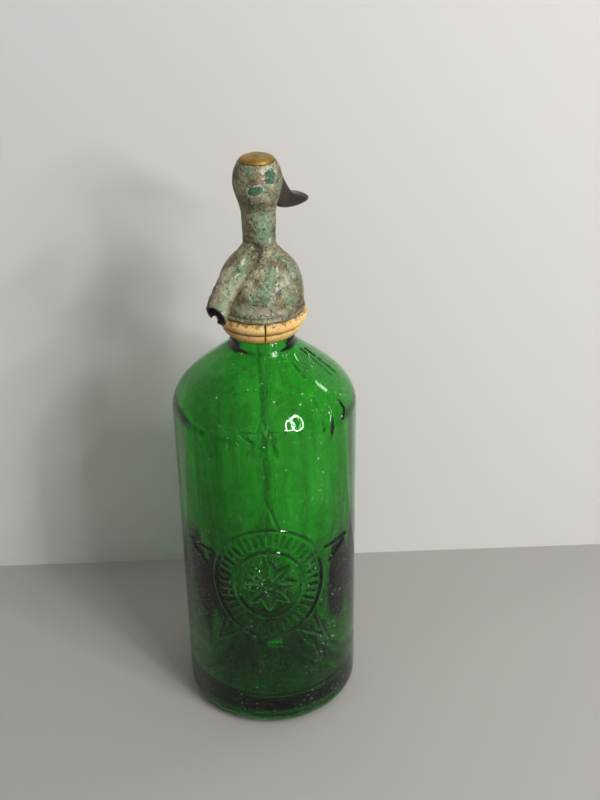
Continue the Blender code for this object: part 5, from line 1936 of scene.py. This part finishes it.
@dataclass
class Studio:
    """Pale floor, a wall close behind, soft lamps and the camera."""

    floor_colour: str = "ABA8A4"
    wall_colour: str = "E1DEDC"
    far_colour: str = "B2B0AC"
    view_angle: float = -138.1
    wall_distance: float = 0.1105
    wall_half_width: float = 0.30
    wall_height: float = 0.75
    reach: float = 1.6
    lamp_distance: float = 1.05
    lamp_lean: float = 12.0
    lamp_aim: float = 0.18
    tube_share: float = 0.84
    ring_strength: float = 58.0
    lens: float = 56.25
    sensor: float = 36.0

    def board(self, name: str, half_width: float, points: Outline, colour: str) -> None:
        """Makes one wide board across the view.

        Args:
            name: The board's name.
            half_width: Half its width in metres.
            points: Distance behind the object, away from the camera, and height, along the board.
            colour: Its paint.
        """
        away = math.radians(self.view_angle + 180)
        back = Vector((math.cos(away), math.sin(away), 0))
        side = Vector((-back.y, back.x, 0))
        places = []
        for distance, height in points:
            for across in (-half_width, half_width):
                places.append(back * distance + side * across + Vector((0, 0, height)))
        faces = [(2 * row, 2 * row + 1, 2 * row + 3, 2 * row + 2) for row in range(len(points) - 1)]
        obj = mesh_object(name, np.array(places), faces)
        dress(obj, PaintedBoard(name + "_paint", colour=colour))

    def ring_lamp(self, name: str, angle: float, height: float, half_axes: Pair,
                  strength: float) -> None:
        """Hangs one of the photographer's ring lamps, whose shape shows in the glass.

        Args:
            name: The lamp's name.
            angle: Degrees round the axis at which it stands.
            height: Metres over the floor.
            half_axes: Half its width and half its height; it leans a little to the right.
            strength: Its radiance.
        """
        place = Vector(on_surface(angle, self.lamp_distance, height))
        turn = (Vector((0, 0, self.lamp_aim)) - place).to_track_quat("Z", "Y").to_matrix()
        turn = turn @ Matrix.Rotation(math.radians(self.lamp_lean), 3, "Z")
        count = 48
        wide, high = half_axes
        grid = [
            place + turn @ Vector((share * wide * math.cos(spot), share * high * math.sin(spot), 0))
            for share in (self.tube_share, 1.0) for spot in even_angles(count)
        ]
        ring = mesh_object(name, np.array([tuple(point) for point in grid]), band_faces(2, count))
        material = bpy.data.materials.new(name + "_tube")
        material.use_nodes = True
        fill(material.node_tree.nodes["Principled BSDF"], {
            "Base Color": (0, 0, 0, 1), "Emission Color": (1.0, 0.99, 0.985, 1.0),
            "Emission Strength": strength})
        ring.data.materials.append(material)

    def lamp(self, name: str, angle: float, distance: float, height: float, size: Pair,
             power: float, aim: float = 0.16) -> None:
        """Hangs one oblong lamp.

        Args:
            name: The lamp's name.
            angle: Degrees round the axis at which it stands.
            distance: Metres from the axis.
            height: Metres over the floor.
            size: Its width and height in metres.
            power: Watts.
            aim: Height on the axis that it faces.
        """
        data = bpy.data.lights.new(name, "AREA")
        data.shape = "RECTANGLE"
        data.size, data.size_y = size
        data.energy = power
        obj = bpy.data.objects.new(name, data)
        bpy.context.scene.collection.objects.link(obj)
        obj.location = on_surface(angle, distance, height)
        toward = Vector((0, 0, aim)) - obj.location
        obj.rotation_euler = toward.to_track_quat("-Z", "Y").to_euler()

    def air(self) -> None:
        """Builds the world: bright overhead and on the right, dim at eye level, so glass shows little."""
        world = bpy.data.worlds.new("studio_air")
        bpy.context.scene.world = world
        world.use_nodes = True
        tree = world.node_tree
        ray = add_node(tree, "TexCoord").outputs["Generated"]
        height = add_node(tree, "SeparateXYZ", (ray,)).outputs["Z"]
        side = math.radians(self.view_angle + 90)
        across = add_node(
            tree, "VectorMath", (ray, (math.cos(side), math.sin(side), 0.0)), operation="DOT_PRODUCT")
        dim = add_node(tree, "MapRange", (across.outputs["Value"], -0.8, 0.2, 0.16, 0.74))
        room = add_node(tree, "ValToRGB", (height,), ((0.0, "585858"), (0.25, "585858"), (0.60, "FFFFFF")))
        # The camera, gloss and glass see a plain pale room beyond the backdrop.
        rays = add_node(tree, "LightPath").outputs
        shiny = add_node(
            tree, "Math", (rays["Is Glossy Ray"], rays["Is Transmission Ray"]), operation="MAXIMUM")
        seen = add_node(tree, "Math", (rays["Is Camera Ray"], shiny), operation="MAXIMUM")
        fill(tree.nodes["Background"], {
            "Color": add_node(tree, "MixRGB", (seen, room, self.far_colour)),
            "Strength": add_node(tree, "MapRange", (seen, 0.0, 1.0, dim, 1.0))})

    def build(self) -> None:
        """Builds the floor, backdrop, lamps, world and camera."""
        wall = self.wall_distance
        self.board("floor_board", self.reach, [(-self.reach, 0), (wall, 0)], self.floor_colour)
        upright = [(wall, 0), (wall, self.wall_height)]
        self.board("backdrop_board", self.wall_half_width, upright, self.wall_colour)
        self.ring_lamp("right_ring", -95.4, 0.82, (0.15, 0.34), self.ring_strength)
        self.ring_lamp("left_ring", -105.5, 0.865, (0.12, 0.24), self.ring_strength)
        self.lamp("window_lamp", -23.3, 1.05, 0.855, (0.20, 0.17), 1.2)
        self.air()
        data = bpy.data.cameras.new("photograph_view")
        data.lens = self.lens
        data.sensor_width = self.sensor
        camera = bpy.data.objects.new("photograph_view", data)
        bpy.context.scene.collection.objects.link(camera)
        camera.matrix_world = Matrix((
            (0.6364, 0.3890, -0.6661, -0.4159),
            (-0.7712, 0.3048, -0.5589, -0.3728),
            (-0.0144, 0.8694, 0.4939, 0.4983),
            (0, 0, 0, 1),
        ))
        bpy.context.scene.camera = camera
        bpy.context.scene.view_settings.view_transform = "Standard"


def main() -> None:
    """Builds the siphon's pieces and the studio round them."""
    logging.basicConfig(level=logging.INFO, format="%(message)s")
    makers = (
        GlassBottle(), SplitCollar(), HeadCasting(), ThumbLever(), BrassCap(), ValveWorks(), Studio())
    for maker in makers:
        LOG.info("building %s", type(maker).__name__)
        maker.build()


if __name__ == "__main__":
    main()
